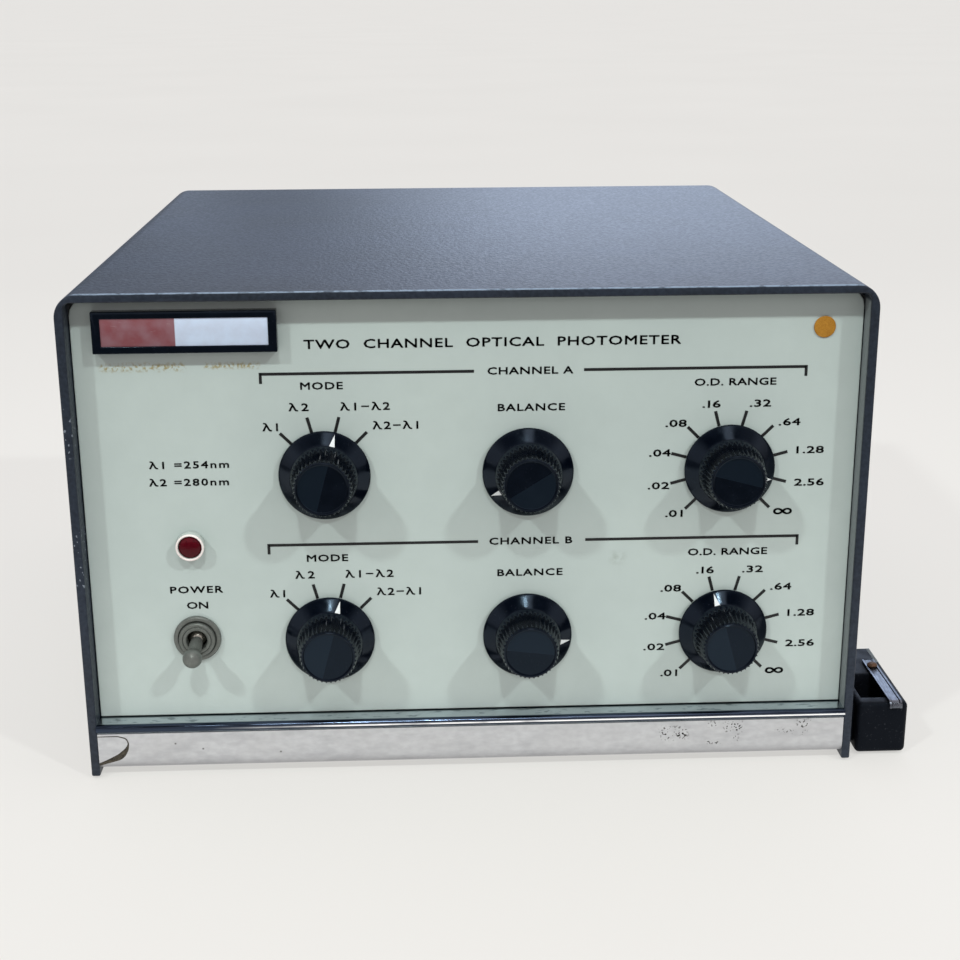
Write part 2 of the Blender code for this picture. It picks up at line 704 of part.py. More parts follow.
def nameplate():
    """A frame with a shallow recess, and the label plate lying in it."""
    back = PANEL_FACE - GAP
    front = back - PLATE_DEPTH
    half_width = PLATE_WIDTH / 2
    half_height = PLATE_HEIGHT / 2
    low = (PLATE_X - half_width, front, PLATE_Z - half_height)
    high = (PLATE_X + half_width, back, PLATE_Z + half_height)
    frame = add_part("nameplate_frame", box_mesh("nameplate_frame", low, high), "black_phenolic")
    round_edges(frame, 0.5 * MM)
    window_width = half_width - PLATE_END
    window_height = half_height - PLATE_BORDER
    cut_low = (PLATE_X - window_width, front - 2 * MM, PLATE_Z - window_height)
    cut_high = (PLATE_X + window_width, front + PLATE_RECESS, PLATE_Z + window_height)
    window = add_cutter("nameplate_window", box_mesh("nameplate_window", cut_low, cut_high))
    combine(frame, window, "DIFFERENCE")
    label_low = (cut_low[0] + GAP, front + 0.5 * MM, cut_low[2] + GAP)
    label_high = (cut_high[0] - GAP, front + PLATE_RECESS - GAP, cut_high[2] - GAP)
    add_part("nameplate_label", box_mesh("nameplate_label", label_low, label_high), "foil_label")


def round_sticker():
    mesh = drum_mesh("round_sticker", STICKER_RADIUS, GAP, 2 * GAP, 32)
    add_part("round_sticker", mesh, "orange_paper", on_panel(STICKER_X, STICKER_Z), OUT_OF_PANEL)


def cell_block():
    """A moulded block with a pocket in its top and a pad against the side wall."""
    low = (BLOCK_LEFT, BLOCK_FRONT, 0)
    high = (BLOCK_RIGHT, BLOCK_BACK, BLOCK_TOP)
    block = add_part("cell_block", box_mesh("cell_block", low, high), "moulded_black")
    round_edges(block, 2.5 * MM, 3)
    pad_low = (COVER_WIDTH / 2 + GAP, BLOCK_FRONT + 6 * MM, 3 * MM)
    pad_high = (BLOCK_LEFT + 2 * MM, BLOCK_BACK - 6 * MM, BLOCK_TOP - 3 * MM)
    pad = add_cutter("cell_block_pad", box_mesh("cell_block_pad", pad_low, pad_high))
    combine(block, pad, "UNION")
    pocket_low = (POCKET_LEFT, POCKET_FRONT, POCKET_FLOOR)
    pocket_high = (POCKET_RIGHT, POCKET_BACK, BLOCK_TOP + 3 * MM)
    pocket = rounded_box_mesh("cell_pocket", pocket_low, pocket_high, 3 * MM, upright)
    combine(block, add_cutter("cell_pocket", pocket), "DIFFERENCE")
    place = (CLIP_X, CLIP_PIVOT, BLOCK_TOP)
    drill(block, "clip_screw_hole", 1.8 * MM, place, (0, 0, 0), 7 * MM, 12)


def cell_clip():
    """A flat spring strip, bent down over the block's front edge."""
    height = BLOCK_TOP + GAP + CLIP_THICKNESS / 2
    curl = 1.6 * MM
    path = [(CLIP_TAIL, height)]
    path += arc((CLIP_NOSE + curl, height - curl), curl, 90, 180, 5)
    path += [(CLIP_NOSE, height - curl - 1.2 * MM)]
    local = [(y - CLIP_PIVOT, z) for y, z in path]
    half = CLIP_WIDTH / 2
    mesh = sheet_mesh("cell_clip", local, (-half, half))
    clip = add_part("cell_clip", mesh, "spring_steel", (CLIP_X, CLIP_PIVOT, 0), (0, 0, radians(90)))
    thicken(clip, CLIP_THICKNESS, 0)
    place = (CLIP_X, CLIP_PIVOT, BLOCK_TOP)
    drill(clip, "clip_hole", 1.8 * MM, place, (0, 0, 0), 5 * MM, 12)


def clip_screw():
    """A domed head over the clip and a shank in the block."""
    under = CLIP_THICKNESS + 2 * GAP
    profile = [(0, under + 1.5 * MM), (1.4 * MM, under + 1.2 * MM), (2.4 * MM, under)]
    profile += [(1.5 * MM, under), (1.5 * MM, -6.5 * MM), (0, -6.5 * MM)]
    place = (CLIP_X, CLIP_PIVOT, BLOCK_TOP)
    turned_part("clip_screw", profile, "rusty_steel", place, (0, 0, 0), 12)


def power_inlet():
    """A flanged mains inlet: a housing, its cavity and three blades."""
    face = REAR_FACE + REAR_THICKNESS
    low = (INLET_X - 25 * MM, face + GAP, INLET_Z - 12 * MM)
    high = (INLET_X + 25 * MM, face + 3.3 * MM, INLET_Z + 12 * MM)
    inlet = add_part("power_inlet", box_mesh("power_inlet", low, high), "moulded_black")
    case_low = (INLET_X - 13.7 * MM, face - 24 * MM, INLET_Z - 9.7 * MM)
    case_high = (INLET_X + 13.7 * MM, face + 2 * MM, INLET_Z + 9.7 * MM)
    combine(inlet, add_cutter("inlet_case", box_mesh("inlet_case", case_low, case_high)), "UNION")
    hole_low = (INLET_X - 12 * MM, face - 16 * MM, INLET_Z - 8 * MM)
    hole_high = (INLET_X + 12 * MM, face + 6 * MM, INLET_Z + 8 * MM)
    hole = add_cutter("inlet_cavity", box_mesh("inlet_cavity", hole_low, hole_high))
    combine(inlet, hole, "DIFFERENCE")
    for index, (x, z) in enumerate(((-7, -2), (0, 2), (7, -2))):
        blade_low = (INLET_X + (x - 1) * MM, face - 17 * MM, INLET_Z + (z - 2) * MM)
        blade_high = (INLET_X + (x + 1) * MM, face - 5 * MM, INLET_Z + (z + 2) * MM)
        blade = box_mesh(f"inlet_blade_{index}", blade_low, blade_high)
        combine(inlet, add_cutter(f"inlet_blade_{index}", blade), "UNION")


def fuse_holder():
    """A round cap outside and the fuse tube inside."""
    profile = [(0, 12 * MM), (6.6 * MM, 12 * MM), (7.2 * MM, 11.4 * MM), (7.2 * MM, 3 * MM)]
    profile += [(9 * MM, 3 * MM), (9 * MM, GAP), (6 * MM, GAP), (6 * MM, -30 * MM), (0, -30 * MM)]
    turned_part("fuse_holder", profile, "moulded_black", on_back(FUSE_X, INLET_Z), OUT_OF_BACK)


def socket_places():
    """Name and X of the two recorder sockets."""
    return [("output_socket_a", SOCKET_X), ("output_socket_b", SOCKET_X - SOCKET_PITCH)]


def output_socket(name, x):
    """A coaxial socket: a flange, an outer shell and a centre contact in its cup."""
    profile = [(0, SOCKET_REACH - 3 * MM), (1.2 * MM, SOCKET_REACH - 3 * MM)]
    profile += [(1.2 * MM, 6 * MM), (3.9 * MM, 6 * MM), (3.9 * MM, SOCKET_REACH)]
    profile += [(4.8 * MM, SOCKET_REACH), (4.8 * MM, 2.5 * MM), (7.5 * MM, 2.5 * MM)]
    profile += [(7.5 * MM, GAP), (4.7 * MM, GAP), (4.7 * MM, -10 * MM), (0, -10 * MM)]
    turned_part(name, profile, "nickel_plate", on_back(x, INLET_Z), OUT_OF_BACK, 16)


def stack_boxes(name, finish, boxes):
    """One solid made by joining overlapping boxes, each given by two corners in mm."""
    corners = [[tuple(value * MM for value in corner) for corner in box] for box in boxes]
    part = add_part(name, box_mesh(name, *corners[0]), finish)
    for index, (low, high) in enumerate(corners[1:]):
        piece = f"{name}_piece_{index}"
        combine(part, add_cutter(piece, box_mesh(piece, low, high)), "UNION")
    return part


def power_transformer():
    """A laminated core with its winding showing front and back, on two lugs."""
    core = ((-135, 225, 9.3), (-75, 275, 65))
    winding = ((-125, 214, 19), (-85, 286, 55))
    lugs = ((-147, 235, 9.2), (-63, 265, 11.5))
    stack_boxes("power_transformer", "transformer_iron", (core, winding, lugs))


def amplifier_board():
    """The two-channel amplifier board on four pillars, with its tallest parts."""
    boxes = [((-70, 90, 20), (90, 230, 21.6))]
    for x in (-64, 84):
        for y in (96, 224):
            boxes.append(((x - 3, y - 3, 9.2), (x + 3, y + 3, 20.8)))
    for index in range(4):
        x = -50 + 34 * index
        boxes.append(((x, 120, 21), (x + 18, 132, 34)))
        boxes.append(((x, 170, 21), (x + 22, 178, 26)))
    stack_boxes("amplifier_board", "green_laminate", boxes)


def lamp_house():
    """The ultraviolet lamp's cast housing, finned on top."""
    boxes = [((112, 150, 9.2), (150, 215, 55))]
    for index in range(5):
        y = 155 + 12 * index
        boxes.append(((114, y, 54), (148, y + 3, 64)))
    stack_boxes("lamp_house", "cast_aluminium", boxes)


def filter_block():
    """The beam splitter and the filters for the two wavelengths."""
    bench = ((118, 80, 9.2), (150, 145, 36))
    slide_a = ((122, 95, 35), (146, 99, 46))
    slide_b = ((122, 118, 35), (146, 122, 46))
    stack_boxes("filter_block", "cast_aluminium", (bench, slide_a, slide_b))


def photocell():
    """The pair of photocells in one can, with its base."""
    boxes = (((122, 48, 9.2), (148, 74, 30)), ((127, 53, 29), (143, 69, 42)))
    stack_boxes("photocell", "nickel_plate", boxes)


def build():
    top_cover()
    for side, y, z in cover_screw_places():
        cover_screw(side, y, z)
    front_panel()
    chassis_tray()
    for side, x in (("left", -FOOT_SIDE), ("right", FOOT_SIDE)):
        for end, y in (("front", FOOT_FRONT), ("back", FOOT_BACK)):
            foot(f"foot_{side}_{end}", x, y)
    rear_panel()
    front_rail()
    rail_foil()
    for name, x, z in knob_places():
        control(name, x, z)
    lamp_bezel()
    lamp_lens()
    lamp_holder()
    toggle_body()
    toggle_ring()
    toggle_nut()
    toggle_lever()
    nameplate()
    round_sticker()
    cell_block()
    cell_clip()
    clip_screw()
    power_inlet()
    fuse_holder()
    for name, x in socket_places():
        output_socket(name, x)
    power_transformer()
    amplifier_board()
    lamp_house()
    filter_block()
    photocell()


build()
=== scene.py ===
# %% [markdown]
# # A two-channel bench photometer
# The instrument is a sheet-metal cabinet with a painted panel set a little way back inside it.
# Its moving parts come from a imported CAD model, the frame, which already has every size and
# joint. This lesson builds the finer surface around that frame: smooth bends, fluted knobs,
# printing, wear. Every place is read from the frame, so a piece fits without any adjusting
# afterwards.

# %% Load the frame
from math import acos, atan2, cos, degrees, hypot, pi, radians, sin

import bmesh
import bpy
from mathutils import Matrix, Vector


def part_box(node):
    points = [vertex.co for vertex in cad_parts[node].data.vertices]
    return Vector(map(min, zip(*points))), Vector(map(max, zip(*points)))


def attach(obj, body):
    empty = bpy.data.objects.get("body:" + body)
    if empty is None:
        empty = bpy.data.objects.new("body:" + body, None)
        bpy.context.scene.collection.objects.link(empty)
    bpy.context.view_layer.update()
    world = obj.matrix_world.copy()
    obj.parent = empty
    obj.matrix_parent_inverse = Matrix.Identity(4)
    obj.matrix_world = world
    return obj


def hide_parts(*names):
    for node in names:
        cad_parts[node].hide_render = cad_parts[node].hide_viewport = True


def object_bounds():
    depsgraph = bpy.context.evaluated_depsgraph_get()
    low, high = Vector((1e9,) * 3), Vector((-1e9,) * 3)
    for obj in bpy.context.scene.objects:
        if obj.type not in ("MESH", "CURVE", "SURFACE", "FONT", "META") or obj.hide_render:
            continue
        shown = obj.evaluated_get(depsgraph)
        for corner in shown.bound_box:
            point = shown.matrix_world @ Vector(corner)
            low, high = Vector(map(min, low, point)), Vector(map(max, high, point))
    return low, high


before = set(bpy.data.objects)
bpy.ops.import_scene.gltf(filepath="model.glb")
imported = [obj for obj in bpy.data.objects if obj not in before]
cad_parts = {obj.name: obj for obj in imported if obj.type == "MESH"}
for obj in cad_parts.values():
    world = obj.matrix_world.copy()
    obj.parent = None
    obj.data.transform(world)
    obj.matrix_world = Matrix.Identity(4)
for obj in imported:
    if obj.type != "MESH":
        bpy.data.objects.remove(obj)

cad_low, cad_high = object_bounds()
print("CAD box", [round(value, 4) for value in (*cad_low, *cad_high)])

# %% [markdown]
# ## One set of axes for the whole cabinet
# A cabinet maker measures from the cover's front lower edge: X to the right of the middle, Y
# backwards, Z upwards, all in millimetres. Shapes below are modelled in those units. A matrix
# then turns them into metres at the cabinet's place, and other matrices stand a turned piece on
# the panel or on the back.

# %% Cabinet axes
MM = 0.001
cover_low, cover_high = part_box("top_cover")
panel_low, panel_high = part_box("front_panel")
MIDDLE_X = (cover_low.x + cover_high.x) / 2
COVER_HALF = (cover_high.x - cover_low.x) / 2 / MM
COVER_HEIGHT = (cover_high.z - cover_low.z) / MM
COVER_DEPTH = (cover_high.y - cover_low.y) / MM


def at(x, y, z):
    """A point in metres from the cabinet's own millimetres."""
    return Vector((MIDDLE_X + x * MM, cover_low.y + y * MM, cover_low.z + z * MM))


def from_cabinet(point):
    """Cabinet millimetres from a point of the frame."""
    return (point - at(0, 0, 0)) / MM


PANEL_FACE = from_cabinet(panel_low).y
BACK_FACE = from_cabinet(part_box("rear_panel")[1]).y
CABINET = Matrix.Translation(at(0, 0, 0)) @ Matrix.Scale(MM, 4)
FACING_FRONT = Matrix.Rotation(radians(90), 4, "X")
FACING_BACK = Matrix.Rotation(radians(-90), 4, "X")


def on_panel(x, z, turn=0.0):
    """Local Z comes out of the panel; turn is clockwise from the front, in degrees."""
    place = Matrix.Translation(at(x, PANEL_FACE, z))
    return place @ Matrix.Rotation(radians(turn), 4, "Y") @ FACING_FRONT @ Matrix.Scale(MM, 4)


def middle_of(node):
    """The middle of a CAD node's box, in cabinet millimetres."""
    low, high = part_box(node)
    return from_cabinet((low + high) / 2)


print("cover", round(2 * COVER_HALF), "x", round(COVER_DEPTH), "x", round(COVER_HEIGHT), "mm")
print("panel face", round(PANEL_FACE, 2), "back face", round(BACK_FACE, 2))

# %% [markdown]
# ## Helpers for shapes
# Nearly everything here is made in one of three ways: spun on a lathe, drawn out along a line, or
# cut from a block with its edges broken. A helper for each keeps the later cells short. They all
# hand back an open bmesh, so that a later step can bevel it, flute it or join it to another
# before it is placed.

# %% Shape helpers
def softened(profile, radius, steps=3):
    """The same chain of points with its inner corners rounded."""
    soft = [profile[0]]
    for before, corner, after in zip(profile, profile[1:], profile[2:]):
        middle = Vector(corner)
        back = Vector(before) - middle
        ahead = Vector(after) - middle
        reach = min(radius, back.length * 0.45, ahead.length * 0.45)
        start = middle + back.normalized() * reach
        stop = middle + ahead.normalized() * reach
        for step in range(steps + 1):
            share = step / steps
            soft.append(tuple(start.lerp(middle, share).lerp(middle.lerp(stop, share), share)))
    soft.append(profile[-1])
    return soft


def spun(profile, steps=48, closed=False):
    """A (radius, height) profile turned once round local Z."""
    shape = bmesh.new()
    points = [shape.verts.new((radius, 0, height)) for radius, height in profile]
    edges = [shape.edges.new(pair) for pair in zip(points, points[1:])]
    if closed:
        edges.append(shape.edges.new((points[-1], points[0])))
    bmesh.ops.spin(
        shape, geom=points + edges, cent=(0, 0, 0), axis=(0, 0, 1), angle=2 * pi,
        steps=steps, use_merge=True,
    )
    bmesh.ops.remove_doubles(shape, verts=shape.verts, dist=0.0005)
    bmesh.ops.recalc_face_normals(shape, faces=shape.faces)
    return shape


def bevelled(shape, edges, radius, segments=3):
    bmesh.ops.bevel(
        shape, geom=list(edges), offset=radius, offset_type="OFFSET", segments=segments,
        profile=0.5, affect="EDGES", material=-1, clamp_overlap=True,
    )
    return shape


def sharp_edges(shape, angle=50, wanted=lambda middle: True):
    """Edges whose two faces meet at more than angle, where wanted(middle) holds."""
    found = []
    for edge in shape.edges:
        if len(edge.link_faces) == 2 and edge.calc_face_angle() > radians(angle):
            if wanted((edge.verts[0].co + edge.verts[1].co) / 2):
                found.append(edge)
    return found


def block(low, high, radius=0.0, segments=3):
    """A box between two corners, with its edges rounded."""
    low, high = Vector(low), Vector(high)
    shape = bmesh.new()
    bmesh.ops.create_cube(shape, size=1)
    bmesh.ops.scale(shape, vec=high - low, verts=shape.verts)
    bmesh.ops.translate(shape, vec=(low + high) / 2, verts=shape.verts)
    return bevelled(shape, shape.edges, radius, segments) if radius else shape


def moved_copy(shape, faces, offset):
    """Extrude faces by offset and return the new vertices."""
    grown = bmesh.ops.extrude_face_region(shape, geom=list(faces))
    fresh = [item for item in grown["geom"] if isinstance(item, bmesh.types.BMVert)]
    bmesh.ops.translate(shape, vec=offset, verts=fresh)
    return fresh


def drawn(outline, start, stop):
    """A closed (y, z) outline drawn along X."""
    shape = bmesh.new()
    face = shape.faces.new([shape.verts.new((start, y, z)) for y, z in outline])
    moved_copy(shape, [face], (stop - start, 0, 0))
    bmesh.ops.recalc_face_normals(shape, faces=shape.faces)
    return shape


def swept(section, places):
    """A closed (x, z) section carried through a row of matrices, with closed ends."""
    shape = bmesh.new()
    face = shape.faces.new([shape.verts.new(places[0] @ Vector((x, 0, z))) for x, z in section])
    for number, (before, after) in enumerate(zip(places, places[1:])):
        grown = bmesh.ops.extrude_face_region(shape, geom=[face])["geom"]
        if number:
            bmesh.ops.delete(shape, geom=[face], context="FACES_ONLY")
        face = [item for item in grown if isinstance(item, bmesh.types.BMFace)][0]
        bmesh.ops.transform(shape, matrix=after @ before.inverted(), verts=face.verts)
    bmesh.ops.recalc_face_normals(shape, faces=shape.faces)
    return shape


def arc(centre, radius, start, stop, steps):
    """Points on an arc in degrees, both ends included."""
    angles = [radians(start + (stop - start) * step / steps) for step in range(steps + 1)]
    return [(centre[0] + radius * cos(a), centre[1] + radius * sin(a)) for a in angles]


def as_mesh(name, shape):
    """A mesh from a bmesh, which is freed."""
    mesh = bpy.data.meshes.new(name)
    shape.to_mesh(mesh)
    shape.free()
    return mesh


def joined(shapes):
    """Several closed shapes in one bmesh."""
    whole = bmesh.new()
    for shape in shapes:
        mesh = as_mesh("part", shape)
        whole.from_mesh(mesh)
        bpy.data.meshes.remove(mesh)
    return whole


def placed(shape, matrix):
    bmesh.ops.transform(shape, matrix=matrix, verts=shape.verts)
    return shape


def pressed_in(vert, count, depth, fade=1.0):
    """Move a point towards local Z by up to depth, in a wave that goes round count times."""
    radius = hypot(vert.co.x, vert.co.y)
    wave = 0.5 + 0.5 * cos(count * atan2(vert.co.y, vert.co.x))
    share = 1 - depth * wave * fade / radius
    vert.co.x *= share
    vert.co.y *= share


def in_scene(name, data):
    """A new object at the origin, linked to the scene."""
    made = bpy.data.objects.new(name, data)
    bpy.context.scene.collection.objects.link(made)
    return made


print("shape helpers ready")

# %% [markdown]
# ## Helpers for finishes
# A finish starts from a Principled shader. Its constant values are set on the shader itself, and
# nodes add only what changes over the surface: blotches, grain, scratches, wear. Patterns read
# the Object coordinates, which here are the frame's metres, so a size in millimetres is a scale
# of 1000 / size. A node's output knows its own node tree, so a helper that is handed one needs
# nothing else.

# %% Finish helpers
def srgb(code):
    """Linear red, green, blue and alpha from a hex sRGB colour."""
    shares = [int(code[place : place + 2], 16) / 255 for place in (1, 3, 5)]
    linear = [s / 12.92 if s <= 0.04045 else ((s + 0.055) / 1.055) ** 2.4 for s in shares]
    return (*linear, 1.0)


def add(tree, kind, inputs, **settings):
    """One node: settings are its own, inputs are constants or other nodes' outputs."""
    made = tree.nodes.new("ShaderNode" + kind)
    for key, value in settings.items():
        setattr(made, key, value)
    for key, value in inputs.items():
        if isinstance(value, bpy.types.NodeSocket):
            tree.links.new(value, made.inputs[key])
        else:
            made.inputs[key].default_value = value
    return made


def maths(operation, first, second, **settings):
    """Two values put together; the first is another node's output."""
    made = add(first.id_data, "Math", {0: first, 1: second}, operation=operation, **settings)
    return made.outputs[0]


def mapped(value, start, stop, low=0.0, high=1.0):
    """low where the value is start, high where it is stop, and level beyond both."""
    spans = {"From Min": start, "From Max": stop, "To Min": low, "To Max": high}
    return add(value.id_data, "MapRange", {"Value": value, **spans}).outputs[0]


def between(mask, low, high):
    """A 0 to 1 mask turned into values from low to high."""
    return mapped(mask, 0.0, 1.0, low, high)


def both(first, second):
    """Where both masks hold."""
    return maths("MULTIPLY", first, second)


def any_of(masks):
    """Where at least one mask holds."""
    result = masks[0]
    for mask in masks[1:]:
        result = maths("MAXIMUM", result, mask)
    return result


def new_finish(name, **surface):
    """A material with its constants set, and the coordinates to build on."""
    finish = bpy.data.materials.new(name)
    finish.use_nodes = True
    shader = finish.node_tree.nodes["Principled BSDF"]
    for socket, value in surface.items():
        shader.inputs[socket.replace("_", " ")].default_value = value
    return finish, add(finish.node_tree, "TexCoord", {}).outputs["Object"]


def wire(socket, value):
    """Link a node's output to the shader of its own material."""
    tree = value.id_data
    tree.links.new(value, tree.nodes["Principled BSDF"].inputs[socket])


def blotches(coords, size, low=0.4, high=0.6, detail=3.0, stretch=(1, 1, 1)):
    """A 0 to 1 mask of blotches about size mm across, longer where stretch is over 1."""
    longer = [1 / (share * size * MM) for share in stretch]
    spread = add(coords.id_data, "Mapping", {"Vector": coords, "Scale": longer}).outputs[0]
    pattern = {"Vector": spread, "Scale": 1.0, "Detail": detail}
    return mapped(add(coords.id_data, "TexNoise", pattern).outputs[0], low, high)


def ramp(coords, axis, start, stop):
    """0 at start and 1 at stop along one of the cabinet's axes, in its millimetres."""
    number = "XYZ".index(axis)
    along = add(coords.id_data, "SeparateXYZ", {0: coords}).outputs[number]
    zero = at(0, 0, 0)[number]
    return mapped(along, zero + start * MM, zero + stop * MM)


def region(coords, spans, fade=2.0):
    """A soft-edged box given as {axis: (low, high)} in cabinet millimetres."""
    mask = None
    for axis, (low, high) in spans.items():
        rising = ramp(coords, axis, low - fade, low + fade)
        inside = both(rising, ramp(coords, axis, high + fade, high - fade))
        mask = inside if mask is None else both(mask, inside)
    return mask


def layered(base, layers):
    """Colours laid over a base, each given as (mask, strength, colour)."""
    result = srgb(base)
    for mask, strength, code in layers:
        if strength < 1:
            mask = between(mask, 0, strength)
        colours = {0: mask, 6: result, 7: srgb(code)}
        result = add(mask.id_data, "Mix", colours, data_type="RGBA").outputs[2]
    return result


def coated(finish, base, layers, gloss, height, depth):
    """Give a finish its colours, its roughness and a relief of depth mm."""
    wire("Base Color", layered(base, layers))
    wire("Roughness", gloss)
    relief = {"Height": height, "Distance": depth * MM, "Strength": 1.0}
    wire("Normal", add(height.id_data, "Bump", relief).outputs[0])
    return finish


print("finish helpers ready")

# %% [markdown]
# ## Textured cover paint
# The cover is steel, sprayed with a thick blue-grey paint that dries to a fine pebbled skin. The
# pebbles are drawn 1.5 mm apart, coarser than real ones, so that they show. Along the top's front
# edge a broken bright line is partly rubbed paint and partly a painted highlight where the rounded
# edge catches the light. The inner right wall is painted light grey: a painted reflection of the lit
# panel. Small nicks gather near the front, with scuffs on the left.

# %% Cover paint
def cover_paint():
    finish, coords = new_finish("pebbled_blue_grey_paint", IOR=1.5, Specular_IOR_Level=0.25)
    pebbles = blotches(coords, 1.5, 0.35, 0.65, 2.0)
    clouds = blotches(coords, 55, 0.35, 0.65, 2.0)
    top_left = region(coords, {"X": (-165, -60), "Y": (2, 60), "Z": (205, 212)}, 14.0)
    scuffs = both(blotches(coords, 4, 0.60, 0.70, 6.0, (4, 1, 1)), top_left)
    specks = blotches(coords, 1.3, 0.72, 0.75, 0.0)
    clusters = blotches(coords, 40, 0.70, 0.73, 0.0)
    nicks = both(both(specks, clusters), ramp(coords, "Y", 60, 12))
    # Painted highlight along the top's front edge, broken up by noise like rubbed paint.
    front_edge = both(ramp(coords, "Y", 0.9, 0.6), ramp(coords, "Z", 209.4, 209.6))
    worn_edge_highlight = both(front_edge, blotches(coords, 1.6, 0.26, 0.5, 5.0, (2, 1, 1)))
    # Painted reflection: the inner right wall is painted light grey, as if it mirrored the lit panel.
    painted_wall_reflection = region(coords, {"X": (160.9, 161.7), "Y": (1.5, 9.5), "Z": (12, 203)}, 0.6)
    layers = [(clouds, 1, "#242B37"), (pebbles, 0.3, "#39424F"), (scuffs, 0.3, "#6E7888")]
    layers += [(nicks, 0.5, "#9FA8B4"), (worn_edge_highlight, 0.8, "#8799AE"), (painted_wall_reflection, 0.95, "#8C9494")]
    return coated(finish, "#20262F", layers, between(pebbles, 0.42, 0.34), pebbles, 0.08)


COVER_PAINT = cover_paint()
print("made", COVER_PAINT.name)

# %% [markdown]
# ## Panel enamel
# The panel is aluminium with a smooth, semi-matt, pale grey-green enamel. Sprayed enamel has a
# faint orange peel and slow changes of tone. Under the nameplate old glue has bled out and gone
# brown, and there is one grey smear. The glue is a mask inside a soft box, broken up by noise.

# %% Panel enamel
def panel_enamel():
    finish, coords = new_finish("grey_green_enamel", IOR=1.5)
    slow = blotches(coords, 70, 0.3, 0.7, 2.0)
    fine = blotches(coords, 9, 0.3, 0.7, 4.0)
    glue = any_of([
        region(coords, {"X": (-150, -116), "Z": (176.6, 179.6)}, 1.0),
        region(coords, {"X": (-108, -86), "Z": (177.2, 179.4)}, 0.8),
    ])
    glue = both(glue, blotches(coords, 1.3, 0.46, 0.62, 6.0))
    smear = region(coords, {"X": (59.5, 64.5), "Z": (90.5, 94.5)}, 2.0)
    smear = both(smear, blotches(coords, 2.5, 0.4, 0.6, 3.0))
    layers = [(slow, 0.7, "#B4C0BD"), (fine, 0.18, "#A9B5B1")]
    layers += [(glue, 0.9, "#94854F"), (smear, 0.6, "#8E998F")]
    peel = blotches(coords, 1.6, 0.3, 0.7, 1.0)
    return coated(finish, "#BCC8C4", layers, between(fine, 0.42, 0.52), peel, 0.008)


PANEL_ENAMEL = panel_enamel()
print("made", PANEL_ENAMEL.name)

# %% [markdown]
# ## Bright rail and satin foil
# The rail is polished and chromium plated: it shows the panel above it like a mirror, dulled by
# fine scratches that run along it. Its bead is painted dark navy as a painted reflection of the
# dark room, with a painted white highlight along its crest, and its shelf is painted dark where it
# meets the panel, as painted shade. The foil on its face is aluminium tape, so it is softer and
# cloudy, with pits where it was scratched through, mostly in clusters to the right. It is painted
# darker towards its foot, as painted shade where it rolls under.

# %% Bright metal
RAIL_CREST = 21.7
PITTED = (  # (x, half width, z low, z high) of each pitted patch, in cabinet millimetres
    (87, 6, 11, 17), (104, 2, 17, 19), (104, 3, 8, 11), (113, 4, 14, 19), (114, 1, 9, 14),
    (136, 4, 13, 15), (144, 3, 15, 19), (144, 1, 12, 15),
)
LONE_PITS = ((-128.3, 14.6), (-116.6, 11.9), (-83.4, 9.7))


def bright_plate():
    finish, coords = new_finish("chromium_plate", Metallic=1.0)
    hairs = blotches(coords, 0.5, 0.45, 0.62, 3.0, (40, 1, 1))
    haze = blotches(coords, 12, 0.4, 0.7, 3.0, (3, 1, 1))
    shelf = both(ramp(coords, "Z", 23.3, 23.6), ramp(coords, "Y", 1.6, 2.4))
    dirt = both(blotches(coords, 1.8, 0.60, 0.66, 4.0, (3, 1, 1)), shelf)
    # Painted shade: a dark band on the shelf where it meets the panel.
    painted_joint_shade = both(shelf, ramp(coords, "Y", 7.2, 8.6))
    # Painted reflection: the bead is painted dark navy, standing for the dark room it would mirror.
    painted_bead_reflection = both(ramp(coords, "Y", 1.9, 1.2), ramp(coords, "Z", 19.8, 20.1))
    # Painted highlight: a white, non-metallic line along the bead's crest, broken up and fading out at
    # the left.
    painted_crest_highlight = region(coords, {"Y": (-2, 1), "Z": (RAIL_CREST - 0.35, RAIL_CREST + 0.35)}, 0.14)
    patchy = blotches(coords, 3, 0.3, 0.6, 3.0, (6, 1, 1))
    broken = maths("ADD", patchy, ramp(coords, "X", 10, 60), use_clamp=True)
    painted_crest_highlight = both(both(painted_crest_highlight, broken), ramp(coords, "X", -112, -60))
    layers = [(haze, 0.4, "#B4BDC4"), (dirt, 0.6, "#59636A"), (painted_joint_shade, 1, "#566067")]
    layers += [(painted_bead_reflection, 1, "#3A4454"), (painted_crest_highlight, 1, "#FFFFFF")]
    wire("Metallic", between(painted_crest_highlight, 1.0, 0.1))
    return coated(finish, "#CBD3D8", layers, between(hairs, 0.10, 0.24), hairs, 0.004)


def satin_tape():
    finish, coords = new_finish("aluminium_foil_tape", Metallic=0.6)
    grain = blotches(coords, 2.4, 0.36, 0.64, 8.0, (1.8, 1, 1))
    clouds = blotches(coords, 14, 0.35, 0.65, 4.0, (1.6, 1, 1))
    streaks = blotches(coords, 7, 0.5, 0.75, 5.0, (2.5, 1, 0.7))
    # Painted shade: the tape is painted darker towards its foot, where it rolls under the rail.
    foot = ramp(coords, "Z", 9.0, 4.0)
    patches = any_of([
        region(coords, {"X": (x - half, x + half), "Z": (low, high)}, 1.0)
        for x, half, low, high in PITTED
    ])
    pits = both(blotches(coords, 1.1, 0.60, 0.63, 1.0), patches)
    lone = any_of([
        region(coords, {"X": (x - 0.35, x + 0.35), "Z": (z - 0.3, z + 0.3)}, 0.25)
        for x, z in LONE_PITS
    ])
    layers = [(clouds, 0.6, "#D8DADC"), (grain, 0.35, "#AEAEB2"), (streaks, 0.5, "#A7A8AC")]
    layers += [(foot, 0.45, "#8F8F95"), (pits, 1, "#2B2826"), (lone, 1, "#302C2A")]
    return coated(finish, "#CBCCCE", layers, between(clouds, 0.42, 0.58), grain, 0.02)


